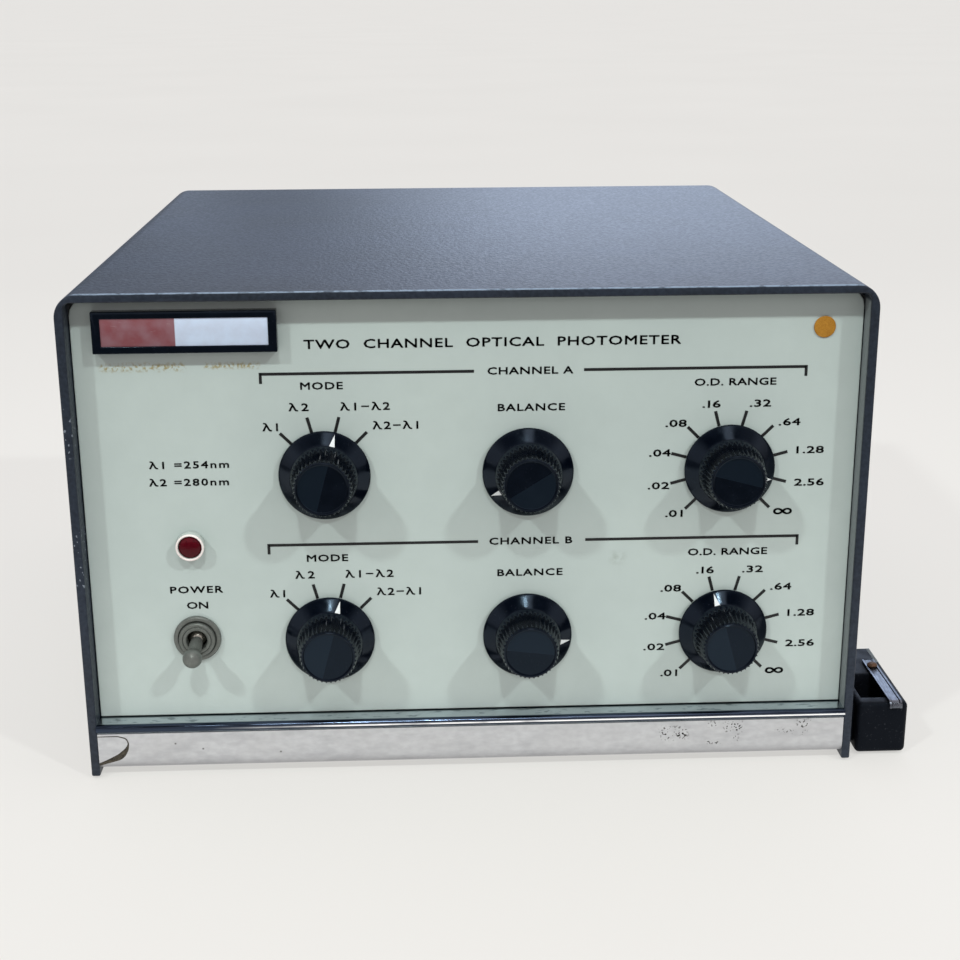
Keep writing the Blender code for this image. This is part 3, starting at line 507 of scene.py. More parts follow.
CHROMIUM = bright_plate()
FOIL_TAPE = satin_tape()
print("made", CHROMIUM.name, "and", FOIL_TAPE.name)

# %% [markdown]
# ## Moulded plastics
# Knobs of this age are phenolic, pressed hot in a polished die: nearly black, very glossy, with a
# skin that fingers have dulled in places. The nameplate frame is the same. The side block and the
# rear fittings are a matt moulding with dust in its pores. One function makes both kinds.

# %% Moulded plastics
def moulded(name, dark, dust, gloss, pore, depth, dusty, level):
    """A black moulding: gloss is its roughness range, pore its grain in mm.

    Marked faces, as on half of each knob's disc, are painted a little lighter: a painted reflection.
    """
    finish, coords = new_finish(
        name, IOR=1.58, Specular_IOR_Level=level, Specular_Tint=srgb("#C4E2FF")
    )
    handled = blotches(coords, 6, 0.4, 0.7, 4.0)
    pores = blotches(coords, pore, 0.35, 0.65, 2.0)
    motes = blotches(coords, 0.9, 0.70, 0.73, 1.0)
    # Painted reflection: faces that the knob builder marks are painted a lighter navy.
    mark = add(finish.node_tree, "Attribute", {}, attribute_name="painted_reflection_half").outputs["Fac"]
    layers = [(handled, 0.35, dust), (motes, dusty, "#8D929B"), (mark, 1, "#0F1720")]
    return coated(finish, dark, layers, between(handled, *gloss), pores, depth)


PHENOLIC = moulded(
    "black_phenolic_moulding", "#03060E", "#0A0F1A", (0.10, 0.2), 2.5, 0.006, 0.02, 0.24
)
MATT_BLACK = moulded(
    "matt_black_moulding", "#0B0C11", "#14161B", (0.45, 0.62), 0.7, 0.02, 0.06, 0.08
)
print("made", PHENOLIC.name, "and", MATT_BLACK.name)

# %% [markdown]
# ## Every other finish
# The remaining finishes differ in colour, roughness and grain but share one build-up: a base
# colour, patches of a second, thin marks of a third, and a grain that changes the gloss and the
# relief. Each row says what the real thing is. Stretch over 1 draws the grain out, as on turned
# or rolled metal.

# %% Shared finishes
def worked(name, base, patch, marks, size, gloss, grain, depth, metallic=0.0, stretch=(1, 1, 1)):
    """base, patch and marks are colours; size and grain are in mm."""
    finish, coords = new_finish(name, Metallic=metallic)
    areas = blotches(coords, size, 0.35, 0.65, 3.0)
    texture = blotches(coords, grain, 0.35, 0.65, 3.0, stretch)
    thin = blotches(coords, size / 4, 0.66, 0.74, 5.0)
    layers = [(areas, 0.7, patch), (texture, 0.2, marks), (thin, 0.6, marks)]
    return coated(finish, base, layers, between(texture, *gloss), texture, depth)


# Cold-rolled steel sheet, zinc plated and passivated: grey with a warm bloom, rolled one way.
PLATED = worked(
    "passivated_zinc_sheet", "#B2B1A6", "#A49F8C", "#7F7C72", 18, (0.34, 0.5), 0.8, 0.01, 1.0,
    (12, 1, 1),
)
# Steel bar turned in a lathe: rings too fine to see are drawn 0.4 mm apart.
TURNED = worked("turned_steel_bar", "#BDBDBA", "#A9A8A4", "#77756F", 6, (0.2, 0.4), 0.4, 0.01, 1.0)
# Dull nickel over brass, greyed by handling.
NICKEL = worked(
    "dull_nickel_plate", "#B9B6AD", "#A29E93", "#77736A", 5, (0.22, 0.42), 0.5, 0.01, 1.0
)
# Paper and phenolic laminate: brown, with its paper grain.
LAMINATE = worked(
    "brown_paper_laminate", "#6B4528", "#5B3A22", "#3E2716", 8, (0.4, 0.6), 0.7, 0.02
)
# Satin nickel gone grey, as on the power switch: close to a grey enamel.
GREY_METAL = worked(
    "greyed_satin_nickel", "#777B77", "#6B6F6A", "#4C4F4B", 3, (0.34, 0.5), 0.35, 0.015, 0.55
)
# Pale urea moulding, smooth, a little pink from the lens it holds.
PALE_PLASTIC = worked(
    "pale_urea_moulding", "#F3EAE6", "#EADEDA", "#C4B4B0", 4, (0.28, 0.42), 0.8, 0.006
)
# Paper dot with dull ink, soaked unevenly.
PAPER_DOT = worked("orange_paper_dot", "#B57F24", "#A6701A", "#6B420F", 1.6, (0.6, 0.75), 0.4, 0.02)
# Moulded rubber with a bloom.
RUBBER = worked("moulded_rubber", "#252525", "#303030", "#454442", 6, (0.7, 0.9), 0.6, 0.03)
# Steel screw, rusted brown.
RUST = worked(
    "rusted_steel_screw", "#5A4638", "#6E4A33", "#2C2320", 1.6, (0.5, 0.75), 0.4, 0.05, 0.4
)
# Spring steel strip, blued and rubbed bright along its length.
SPRING = worked(
    "spring_steel_strip", "#72767E", "#555A64", "#2F343D", 4, (0.2, 0.38), 0.6, 0.015, 1.0,
    (1, 8, 1),
)
# Green glass laminate of a circuit board.
BOARD = worked("green_glass_laminate", "#2C5A36", "#254D2E", "#7E8A6A", 9, (0.35, 0.5), 0.8, 0.01)
# Varnished transformer iron.
IRON = worked(
    "varnished_iron_stack", "#3B3A3C", "#4A423A", "#221F1E", 9, (0.45, 0.65), 0.6, 0.03, 0.3
)
# Sand-cast aluminium.
CASTING = worked(
    "sand_cast_aluminium", "#A8A9AA", "#98999A", "#6D6E6F", 7, (0.42, 0.6), 1.0, 0.06, 1.0
)
# Black screen ink of the legends, a little worn.
INK = worked("black_screen_ink", "#090B0D", "#101315", "#262A2C", 6, (0.4, 0.55), 0.4, 0.003)
# White paint wiped into the knobs' pointers.
POINTER_PAINT = worked(
    "white_filled_paint", "#E9ECEC", "#DADEDF", "#A7ADB0", 2, (0.4, 0.6), 0.4, 0.01
)
# Scorched glue under the lifted foil.
OLD_GLUE = worked("dried_brown_glue", "#2A261F", "#544D3F", "#0B0908", 1.3, (0.6, 0.8), 0.5, 0.08)
print("made", len(bpy.data.materials), "materials so far")

# %% [markdown]
# ## Lens and label
# The pilot lens is clear red plastic over a dark bulb, so it is deep red with a sharp highlight.
# Its upper part is painted a lighter red, a painted reflection of light coming back out of it. Its
# ring is pale on the front, and its side is painted grey-green, standing in for the panel's light
# shining through it. The label is printed foil in two colours, plain here: a red-brown field on
# the left and a silvery blue one on the right, which meet at one place along X.

# %% Lens and label
LABEL_SPLIT = -118.4


def red_plastic():
    finish, coords = new_finish("clear_red_plastic", IOR=1.5, Specular_IOR_Level=0.2)
    lamp = middle_of("lamp_lens")
    # Painted reflection: the upper part of the lens is painted a lighter red, as light coming back out
    # of it.
    painted_inner_reflection = ramp(coords, "Z", lamp.z - 1.0, lamp.z + 4.5)
    flecks = blotches(coords, 1.4, 0.4, 0.65, 3.0)
    swirl = blotches(coords, 1.1, 0.3, 0.7, 1.0)
    layers = [(both(painted_inner_reflection, flecks), 1, "#6A0C1C"), (flecks, 0.3, "#36020A")]
    return coated(finish, "#470310", layers, between(flecks, 0.06, 0.14), swirl, 0.03)


def ring_plastic():
    """Pale on its front; its side is painted grey-green as painted light from the panel."""
    finish, coords = new_finish("pale_lamp_ring", IOR=1.5)
    # Painted light: the ring's side is painted the panel's grey-green, as if the panel shone through
    # it.
    side = ramp(coords, "Y", PANEL_FACE - 4.3, PANEL_FACE - 3.8)
    grime = blotches(coords, 3, 0.4, 0.7, 4.0)
    layers = [(grime, 0.3, "#D9CBC7"), (side, 0.85, "#AEBBB5")]
    return coated(finish, "#F3EAE6", layers, between(grime, 0.28, 0.42), grime, 0.01)


def two_colour_label():
    finish, coords = new_finish("printed_foil_label", Metallic=0.15)
    silver = ramp(coords, "X", LABEL_SPLIT - 0.15, LABEL_SPLIT + 0.15)
    stain = blotches(coords, 9, 0.4, 0.7, 4.0)
    rubs = blotches(coords, 1.2, 0.7, 0.85, 5.0, (6, 1, 1))
    layers = [(silver, 1, "#D2E2F8"), (stain, 0.3, "#A9A3B0"), (rubs, 0.35, "#DDE3EA")]
    return coated(finish, "#864C52", layers, between(stain, 0.3, 0.42), rubs, 0.01)


RED_PLASTIC = red_plastic()
LAMP_RING = ring_plastic()
LABEL_FOIL = two_colour_label()
print("made", RED_PLASTIC.name, LAMP_RING.name, "and", LABEL_FOIL.name)

# %% [markdown]
# ## Finishing a piece
# Each new piece ends the same way: its faces are turned outwards, it is placed, it gets its
# finish, and it is hung on the empty of the body that carries it, while the plain CAD nodes it
# stands for are hidden. The helper prints the number of faces and of open edges, which has to be
# zero on a closed piece.


def piece(name, shape, finish, body="cabinet", nodes=(), place=CABINET, sharp=35):
    placed(shape, place)
    bmesh.ops.recalc_face_normals(shape, faces=shape.faces)
    open_edges = sum(1 for edge in shape.edges if not edge.is_manifold)
    mesh = as_mesh(name, shape)
    mesh.materials.append(finish)
    mesh.shade_smooth()
    mesh.set_sharp_from_angle(angle=radians(sharp))
    made = in_scene(name, mesh)
    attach(made, body)
    if nodes:
        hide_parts(*nodes)
    print(name, len(mesh.polygons), "faces,", open_edges, "open edges")
    return made


# %% [markdown]
# ## Cover
# One steel sheet is folded down both sides. The CAD cover has few facets in its bends, so the
# sheet is drawn again with a finer bend. Its front edge is a strip of faces between the outer and
# the inner line, extruded backwards as one region, and then every sharp edge is broken as a file
# would.

# %% Bent cover
SHEET = 3.7
BEND, INNER_BEND = 10.0, 3.0


def cover_line(inset, steps=14):
    """The cover's outline, inset from its outer face."""
    half, top = COVER_HALF, COVER_HEIGHT
    bend = INNER_BEND if inset else BEND
    reach = inset + bend
    line = [(-half + inset, 0), (-half + inset, top / 2)]
    line += arc((-half + reach, top - reach), bend, 180, 90, steps)
    line += [(0, top - inset)]
    line += arc((half - reach, top - reach), bend, 90, 0, steps)
    line += [(half - inset, top / 2), (half - inset, 0)]
    return line


def cover_shape():
    shape = bmesh.new()
    outer = [shape.verts.new((x, 0, z)) for x, z in cover_line(0)]
    edges = [shape.edges.new(pair) for pair in zip(outer, outer[1:])]
    strip = bmesh.ops.extrude_edge_only(shape, edges=edges)["geom"]
    inner_line = cover_line(SHEET)
    for vert in [item for item in strip if isinstance(item, bmesh.types.BMVert)]:
        nearest = min(range(len(outer)), key=lambda place: (outer[place].co - vert.co).length)
        x, z = inner_line[nearest]
        vert.co = (x, 0, z)
    moved_copy(shape, shape.faces, (0, COVER_DEPTH, 0))
    bmesh.ops.recalc_face_normals(shape, faces=shape.faces)
    return bevelled(shape, sharp_edges(shape, 60), 0.7, 3)


piece("bent_cover", cover_shape(), COVER_PAINT, nodes=["top_cover"])

# %% [markdown]
# ## Rail and foil band
# The rail is a rolled channel with a half-round bead along its upper front edge, and the foil is
# taped over the face below the bead. Both keep one cross-section along their whole length, so
# each is an outline drawn along X. The foil's left end has come loose: a tongue of it curls away
# from the rail.

# %% Rail and foil
rail_low, rail_high = (from_cabinet(corner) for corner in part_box("front_rail"))
BEAD, BEAD_DEPTH, ROLL, RAIL_WALL, RAIL_FACE = 1.9, 1.3, 4.3, 2.0, 0.9
FOIL_GAP, FOIL_THICK = 0.3, 0.35


def rail_shape():
    roll = (RAIL_FACE + ROLL, rail_low.z + ROLL)
    bead_z = rail_high.z - BEAD
    bead_end = 180 + degrees(acos((BEAD_DEPTH - RAIL_FACE) / BEAD))
    outline = [(14, rail_high.z)] + arc((BEAD_DEPTH, bead_z), BEAD, 90, bead_end, 20)
    outline += arc(roll, ROLL, 180, 270, 12)
    outline += [(28, rail_low.z), (28, rail_low.z + RAIL_WALL)]
    outline += arc(roll, ROLL - RAIL_WALL, 270, 180, 8)
    outline += [(RAIL_FACE + RAIL_WALL, rail_high.z - RAIL_WALL), (14, rail_high.z - RAIL_WALL)]
    return drawn(outline, rail_low.x, rail_high.x)


def foil_shape():
    roll = (RAIL_FACE + ROLL, rail_low.z + ROLL)
    near, far = ROLL + FOIL_GAP, ROLL + FOIL_GAP + FOIL_THICK
    top = rail_high.z - 2 * BEAD - FOIL_GAP
    outline = [(roll[0] - far, top)] + arc(roll, far, 180, 270, 14)
    outline += [(12, roll[1] - far), (12, roll[1] - near)] + arc(roll, near, 270, 180, 14)
    outline += [(roll[0] - near, top)]
    return drawn(outline, rail_low.x + FOIL_GAP, rail_high.x - FOIL_GAP)


piece("bright_rail_bar", rail_shape(), CHROMIUM, nodes=["front_rail"], sharp=30)
piece("foil_band", foil_shape(), FOIL_TAPE, nodes=["rail_foil"], sharp=30)

FOIL_FRONT = from_cabinet(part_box("rail_foil")[0]).y
TONGUE_LEFT, TONGUE_RIGHT, TONGUE_TOP, TONGUE_FOOT = -161.2, -148.4, 18.4, 6.3
TONGUE_LINE = [(TONGUE_LEFT, TONGUE_TOP), (-152.8, 18.4), (-149.3, 17.4), (TONGUE_RIGHT, 15.2)]
TONGUE_LINE += [(-149.8, 13.0), (-152.9, 10.4), (-157.6, 7.9), (TONGUE_LEFT, TONGUE_FOOT)]
GLUE_LINE = [(TONGUE_LEFT, 18.75), (-152.6, 18.8), (-149.0, 17.7), (-148.0, 15.2), (-148.4, 12.2)]
GLUE_LINE += [(-149.8, 9.4), (-151.7, 7.7), (-154.2, 6.9), (-158.0, 5.9), (TONGUE_LEFT, 4.9)]


def tongue_shape():
    """A thin lid over the outline, lifted most along its right and lower rim."""
    shape = bmesh.new()
    line = softened(TONGUE_LINE, 1.0)
    rim = [shape.verts.new((x, FOIL_FRONT - 0.12, z)) for x, z in line]
    face = shape.faces.new(rim)
    for width in (0.5, 0.6, 0.8):
        bmesh.ops.inset_region(shape, faces=[face], thickness=width, use_even_offset=True)
    for vert in shape.verts:
        across = (vert.co.x - TONGUE_LEFT) / (TONGUE_RIGHT - TONGUE_LEFT)
        down = (TONGUE_TOP - vert.co.z) / (TONGUE_TOP - TONGUE_FOOT)
        lift = min(1.0, max(0.0, across * 0.55 + down * 0.6 - 0.25))
        vert.co.y -= 0.9 * lift**1.4
    moved_copy(shape, shape.faces, (0, 0.1, 0))
    return shape


def glue_shape():
    shape = bmesh.new()
    line = softened(GLUE_LINE, 1.0)
    face = shape.faces.new([shape.verts.new((x, FOIL_FRONT - 0.06, z)) for x, z in line])
    moved_copy(shape, [face], (0, 0.05, 0))
    return shape


piece("loose_foil_tongue", tongue_shape(), FOIL_TAPE)
piece("glue_under_foil", glue_shape(), OLD_GLUE)

# %% [markdown]
# ## Knobs
# A skirted knob is a pressed moulding: a cone with a thin rim, a fluted grip, and a disc set into
# the grip's front inside a raised ring. It is spun from one profile. The flutes are then pressed
# in by moving the grip's points towards the axis in a wave, which keeps the mesh closed and even.
# The disc falls away very slightly on both sides of a ridge in line with the pointer, so its
# halves shine apart. That is faint in this room, so the faces of one half also carry a mark, and
# their finish paints that half a lighter navy: a painted reflection.

# %% Knobs
KNOB_PLACES = {
    "mode_a": 15, "balance_a": -122, "range_a": 105, "mode_b": 15, "balance_b": 97, "range_b": -15,
}
FLUTES = 38
FLUTE_DEPTH = 1.1
FLUTE_RUN = 1.4
GRIP_FOOT, CAP_HEIGHT, RIDGE_FALL = 7.6, 21.05, 0.022
CONE_FOOT, CONE_RIM = (13.8, 6.44), (18.45, 2.75)


def knob_profile():
    cap = [(0, CAP_HEIGHT), (10.15, CAP_HEIGHT), (10.4, 21.65), (10.85, 21.75), (11.15, 21.35)]
    grip = [(11.6, 21.3), (12.0, 20.8), (12.2, 18.0), (12.5, 15.0), (12.8, 12.0), (13.1, 9.5)]
    skirt = [(13.3, 7.9), CONE_FOOT, (14.9, 5.57), (16.7, 4.14), CONE_RIM, (19.05, 2.2)]
    back = [(19.05, 1.4), (17.65, 1.3), (17.4, 1.9), (12.0, 5.4), (3.5, 5.4), (3.5, 15.5), (0, 15.5)]
    return softened(cap + grip + skirt + back, 0.28, 2)


def fluted(shape):
    for vert in shape.verts:
        radius = hypot(vert.co.x, vert.co.y)
        if radius < 10.3 and abs(vert.co.z - CAP_HEIGHT) < 0.1:
            vert.co.z -= RIDGE_FALL * abs(vert.co.x)
        if radius > 11.3 and GRIP_FOOT < vert.co.z:
            pressed_in(vert, FLUTES, FLUTE_DEPTH, min(1.0, (vert.co.z - GRIP_FOOT) / FLUTE_RUN))
    return shape


def painted_reflection_half(shape):
    """Mark the disc's half left of the pointer, to be painted lighter as a painted reflection."""
    layer = shape.faces.layers.float.new("painted_reflection_half")
    for face in shape.faces:
        middle = face.calc_center_median()
        on_disc = hypot(middle.x, middle.y) < 10.1 and abs(middle.z - CAP_HEIGHT) < 0.3
        face[layer] = 1.0 if on_disc and middle.x < 0 else 0.0
    return shape


def pointer_shape():
    """A thin wedge of paint lying on the cone, its tip at the rim."""
    corners = []
    for across, radius in ((-1.15, 14.0), (1.15, 14.0), (0.0, 18.3)):
        share = (radius - CONE_FOOT[0]) / (CONE_RIM[0] - CONE_FOOT[0])
        corners.append((across, radius, CONE_FOOT[1] + share * (CONE_RIM[1] - CONE_FOOT[1]) + 0.02))
    shape = bmesh.new()
    face = shape.faces.new([shape.verts.new(corner) for corner in corners])
    moved_copy(shape, [face], (0, 0.03, 0.05))
    return shape


for name, turn in KNOB_PLACES.items():
    hub = middle_of(f"shaft_{name}")
    place = on_panel(hub.x, hub.z, turn)
    body = f"knob_body_{name}"
    knob = painted_reflection_half(fluted(spun(knob_profile(), FLUTES * 6)))
    made = piece(f"fluted_knob_{name}", knob, PHENOLIC, body, [f"knob_{name}"], place, 28)
    for face in made.data.polygons:
        face.use_smooth = len(face.vertices) > 3
    piece(f"pointer_{name}", pointer_shape(), POINTER_PAINT, body, (), place)

# %% [markdown]
# ## Pilot lamp
# A pale ring is pressed into the panel and holds a domed lens. Both are turned shapes. The lens
# is only a shallow dome, and its stem goes back through the panel to the bulb.

# %% Pilot lamp
lamp = middle_of("lamp_lens")
ring_profile = [(4.9, 3.2), (4.95, 4.3), (5.35, 4.8), (5.9, 4.4), (6.05, 0.32), (4.9, 0.32)]
dome = [(4.85 * sin(radians(a)), 3.2 + 1.3 * cos(radians(a))) for a in range(0, 91, 9)]
lens_profile = dome + [(4.85, 0.4), (3.9, 0.4), (3.9, -3.4), (0, -3.4)]
lens_profile[0] = (0, 4.5)
ring = spun(softened(ring_profile + [ring_profile[0]], 0.2, 2)[:-1], 64, closed=True)
piece(
    "lamp_ring", ring, LAMP_RING, nodes=["lamp_bezel"],
    place=on_panel(lamp.x, lamp.z),
)
piece(
    "lamp_dome", spun(lens_profile, 64), RED_PLASTIC, nodes=["lamp_lens"],
    place=on_panel(lamp.x, lamp.z),
)

# %% [markdown]
# ## Power switch
# The switch's threaded neck comes through the panel. A wide washer lies on the panel, a round
# dress nut clamps it, and the bat-shaped lever leaves a ball inside the neck. The lever is turned
# upright and then laid along its line, with the same twist, tilt, pivot and length as the CAD
# lever has.

# %% Power switch
switch = middle_of("toggle_ring")
switch_place = on_panel(switch.x, switch.z)
washer = [(6.25, 0.3), (6.25, 1.2), (8.0, 1.2), (8.15, 1.9), (9.5, 1.9), (10.0, 1.4), (10.0, 0.3)]
nut = [(6.05, 2.2), (6.05, 3.65), (7.2, 3.75), (7.7, 3.3), (7.75, 2.2)]
neck = softened([(4.3, -6.0), (4.3, 3.2), (4.6, 3.7), (5.8, 3.7), (5.95, 3.5), (5.95, -6.0)], 0.15)
piece(
    "switch_washer", spun(softened(washer, 0.25), 72, closed=True), GREY_METAL,
    nodes=["toggle_ring"], place=switch_place,
)
piece(
    "switch_dress_nut", spun(softened(nut, 0.2), 72, closed=True), GREY_METAL,
    nodes=["toggle_nut"], place=switch_place,
)
SWITCH_TWIST = 12.4
case_place = on_panel(switch.x, switch.z, SWITCH_TWIST)
piece(
    "switch_case", block((-8.5, -15, -22), (8.5, 15, -3.5), 0.8), MATT_BLACK,
    nodes=["toggle_body"], place=case_place,
)
piece("switch_neck", spun(neck, 72, closed=True), GREY_METAL, place=switch_place)

LEVER_TILT, PIVOT_DEPTH, LEVER_LENGTH, TIP_RADIUS = 15.6, 10.5, 15.3, 4.1
lean = sin(radians(LEVER_TILT))
twist = radians(SWITCH_TWIST)
lever_line = Vector((-lean * sin(twist), -cos(radians(LEVER_TILT)), -lean * cos(twist)))
tip = arc((0, LEVER_LENGTH), TIP_RADIUS, 90, -42, 14)
pivot_ball = arc((0, 0), 3.4, 50, -90, 12)
lever_profile = tip + [(2.85, 10.6), (2.8, 8.0), (2.7, 5.0)] + pivot_ball
lever_profile[0] = (0, LEVER_LENGTH + TIP_RADIUS)
lever_profile[-1] = (0, -3.4)
lever_place = Matrix.Translation(at(switch.x, PIVOT_DEPTH, switch.z))
lever_place = lever_place @ lever_line.to_track_quat("Z", "X").to_matrix().to_4x4()
lever_place = lever_place @ Matrix.Scale(MM, 4)
piece(
    "switch_lever", spun(lever_profile, 64), GREY_METAL, "toggle", ["toggle_lever"],
    lever_place, 40,
)

BALL = 3.85
ball_profile = arc((0, 0), BALL, 90, -90, 24)
ball_profile[0], ball_profile[-1] = (0, BALL), (0, -BALL)
piece(
    "switch_pivot_ball", spun(ball_profile, 48), NICKEL, "toggle", (),
    lever_place, 40,
)

# %% [markdown]
# ## Nameplate and dot
# The frame is a moulded bar with a shallow window. A block's front face is inset and pushed back,
# and its edges are rounded. The label lies in the window. It carries no name: only the two fields
# of colour are left. The paper dot is a thin turned disc.

# %% Nameplate and dot
plate_low, plate_high = (from_cabinet(corner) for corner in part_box("nameplate_frame"))
label_low, label_high = (from_cabinet(corner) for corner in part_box("nameplate_label"))
PLATE_RECESS = 1.4


def plate_frame_shape():
    shape = block(plate_low, plate_high)
    front = min(shape.faces, key=lambda face: face.calc_center_median().y)
    bmesh.ops.inset_region(shape, faces=[front], thickness=2.0)
    middle = (plate_low + plate_high) / 2
    for vert in front.verts:
        window = label_low if vert.co.x < middle.x else label_high
        vert.co.x = window.x
        vert.co.z = label_low.z if vert.co.z < middle.z else label_high.z
    moved_copy(shape, [front], (0, PLATE_RECESS, 0))
    bmesh.ops.delete(shape, geom=[front], context="FACES_ONLY")
    bmesh.ops.remove_doubles(shape, verts=shape.verts, dist=0.0005)
    bmesh.ops.recalc_face_normals(shape, faces=shape.faces)
    return bevelled(shape, sharp_edges(shape, 60), 0.35, 3)


piece("plate_surround", plate_frame_shape(), PHENOLIC, nodes=["nameplate_frame"])
piece("plain_label", block(label_low, label_high, 0.08, 2), LABEL_FOIL,
      nodes=["nameplate_label"])
dot = middle_of("round_sticker")
dot_profile = softened([(0, 0.62), (4.3, 0.62), (4.5, 0.42), (4.5, 0.3), (0, 0.3)], 0.08, 2)
piece("paper_dot", spun(dot_profile, 72), PAPER_DOT, nodes=["round_sticker"],
      place=on_panel(dot.x, dot.z))

# %% [markdown]
# ## Printing on the panel
# The legends are screen printed: plain wide capitals, scale marks round the knobs, and a bracket
# over each channel. A bump or a colour mask can't hold such sharp edges, so they are real, very
# thin shapes. Each text is made a mesh first, its spacing is solved for the width it has to fill,
# and then it is set. The built-in font is too light, and an offset folds a sharp M over itself,
# so each word is laid down four times a hair apart, as ink spreads under a screen.

# %% Printing
INK_FRONT, INK_BACK = 0.10, 0.02
CAP_SHARE = 0.684
WIDEN = 1.40
SPREAD = 0.095
printing = []


def lettering(text, height, spacing, widen):
    """Text in mm as a closed bmesh, widened, with its middle at the origin."""
    curve = bpy.data.curves.new("text", "FONT")
    curve.body = text
    curve.size = height / CAP_SHARE
    curve.resolution_u = 2
    curve.space_character = spacing
    curve.extrude = (INK_FRONT - INK_BACK) / 2
    holder = in_scene("text", curve)
    bpy.context.view_layer.update()
    seen = holder.evaluated_get(bpy.context.evaluated_depsgraph_get())
    mesh = bpy.data.meshes.new_from_object(seen)
    bpy.data.objects.remove(holder)
    bpy.data.curves.remove(curve)
    shape = bmesh.new()
    shape.from_mesh(mesh)
    bpy.data.meshes.remove(mesh)
    bmesh.ops.remove_doubles(shape, verts=shape.verts, dist=0.0005)
    bmesh.ops.scale(shape, vec=(widen, 1, 1), verts=shape.verts)
    left = min(vert.co.x for vert in shape.verts)
    right = max(vert.co.x for vert in shape.verts)
    foot = min(vert.co.y for vert in shape.verts)
    top = max(vert.co.y for vert in shape.verts)
    lift = (INK_FRONT + INK_BACK) / 2
    middle = Vector(((left + right) / 2, (foot + top) / 2, -lift))
    bmesh.ops.translate(shape, vec=-middle, verts=shape.verts)
    return shape, right - left


def legend(text, x, z, width=None, height=2.9, spacing=1.1, widen=WIDEN):
    """Print text about (x, z); its letter spacing is solved to fill the width."""
    if width:
        narrow, first = lettering(text, height, 1.0, widen)
        wide, second = lettering(text, height, 2.0, widen)
        narrow.free()
        wide.free()
        spacing = 1.0 + (width - first) / (second - first)
    for across, up in ((-1, -1), (-1, 1), (1, -1), (1, 1)):
        shape, _ = lettering(text, height, spacing, widen)
        moved = (x + across * SPREAD, z + up * SPREAD, 0)
        bmesh.ops.translate(shape, vec=moved, verts=shape.verts)
        printing.append(shape)


def stroke(x, z, length, width, turn=0.0, reach=0.0):
    """A printed bar; turn is clockwise from upright and reach moves it out along that line."""
    shape = block((-width / 2, reach, INK_BACK), (width / 2, reach + length, INK_FRONT))
    placed(shape, Matrix.Translation((x, z, 0)) @ Matrix.Rotation(radians(-turn), 4, "Z"))
    printing.append(shape)


ROW_DROP = middle_of("shaft_mode_a").z - middle_of("shaft_mode_b").z
legend("TWO  CHANNEL  OPTICAL  PHOTOMETER", 9.2, 186.7, 153.6, 3.6)
for letter, bracket_z, ends in (
    ("A", 174.6, (-85.7, 1.3, 46.4, 138.3)), ("B", 100.9, (-85.4, 2.6, 48.0, 138.5)),
):
    heading_x = 24.4 if letter == "A" else 24.9
    legend(f"CHANNEL {letter}", heading_x, bracket_z, 35.0)
    stroke(ends[0], bracket_z, ends[1] - ends[0], 1.2, 90)
    stroke(ends[2], bracket_z, ends[3] - ends[2], 1.2, 90)
    for end in (ends[0], ends[3]):
        stroke(end, bracket_z - 4.0, 4.6, 1.2)
headings = {
    "A": ((-61.0, 169.4, 17.2), (24.9, 159.1, 27.6), (109.2, 168.6, 33.8)),
    "B": ((-61.0, 94.8, 17.2), (24.6, 86.7, 27.6), (108.9, 94.4, 33.8)),
}
for row in headings.values():
    for text, (x, z, width) in zip(("MODE", "BALANCE", "O.D. RANGE"), row):
        legend(text, x, z, width)
MODE_LEGENDS = (
    ("λ1", -82.6, 152.3, 6.2), ("λ2", -70.7, 160.6, 8.0),
    ("λ1−λ2", -43.5, 160.6, 20.2), ("λ2−λ1", -31.2, 152.4, 18.6),
)
RANGE_LEGENDS = (
    (".16", 99.6, 159.2, 7.4), (".32", 120.0, 159.3, 8.7), (".64", 132.6, 151.1, 8.9),
    (".08", 85.1, 151.2, 8.7), (".04", 78.7, 138.5, 8.9), ("1.28", 141.9, 138.9, 11.4),
    (".02", 78.5, 124.2, 8.9), ("2.56", 142.2, 124.7, 12.4), (".01", 85.4, 111.8, 7.2),
)
for drop in (0.0, ROW_DROP):
    for text, x, z, width in MODE_LEGENDS:
        legend(text, x, z - drop, width, 3.1)
    for text, x, z, width in RANGE_LEGENDS:
        legend(text, x, z - drop, width, widen=1.75)
    legend("∞", 131.6, 112.0 - drop, None, 4.6)
for name in KNOB_PLACES:
    hub = middle_of(f"shaft_{name}")
    marks = range(-45, 46, 30) if "mode" in name else range(-135, 136, 30)
    for mark in () if "balance" in name else marks:
        stroke(hub.x, hub.z, 6.6, 1.3, mark, 18.7)
legend("λ1 =254nm", -116.6, 136.8, 32.6)
legend("λ2 =280nm", -117.0, 129.3, 32.6)
legend("POWER", -116.6, 81.7, 22.0)
legend("ON", -116.6, 74.6, 8.8)
print(len(printing), "printed shapes")
piece("panel_printing", joined(printing), INK, place=on_panel(0, 0), sharp=30)

# %% [markdown]
# ## Block, clip and screw on the side
# A moulded block hangs on the right wall. Its top is cut into a grid by planes so that one cell
# of it can be pushed down as the pocket, and the outer edges are then rounded as the mould rounds
# them. The clip is a strip with two raised ribs, drawn along the block and curled down at its
# nose.

# %% Side block
block_low, block_high = (from_cabinet(corner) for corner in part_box("cell_block"))
BLOCK_BODY_LEFT = 168.6
POCKET = {"left": 171.6, "right": 188.0, "front": 11.0, "back": 36.0, "floor": 13.0}


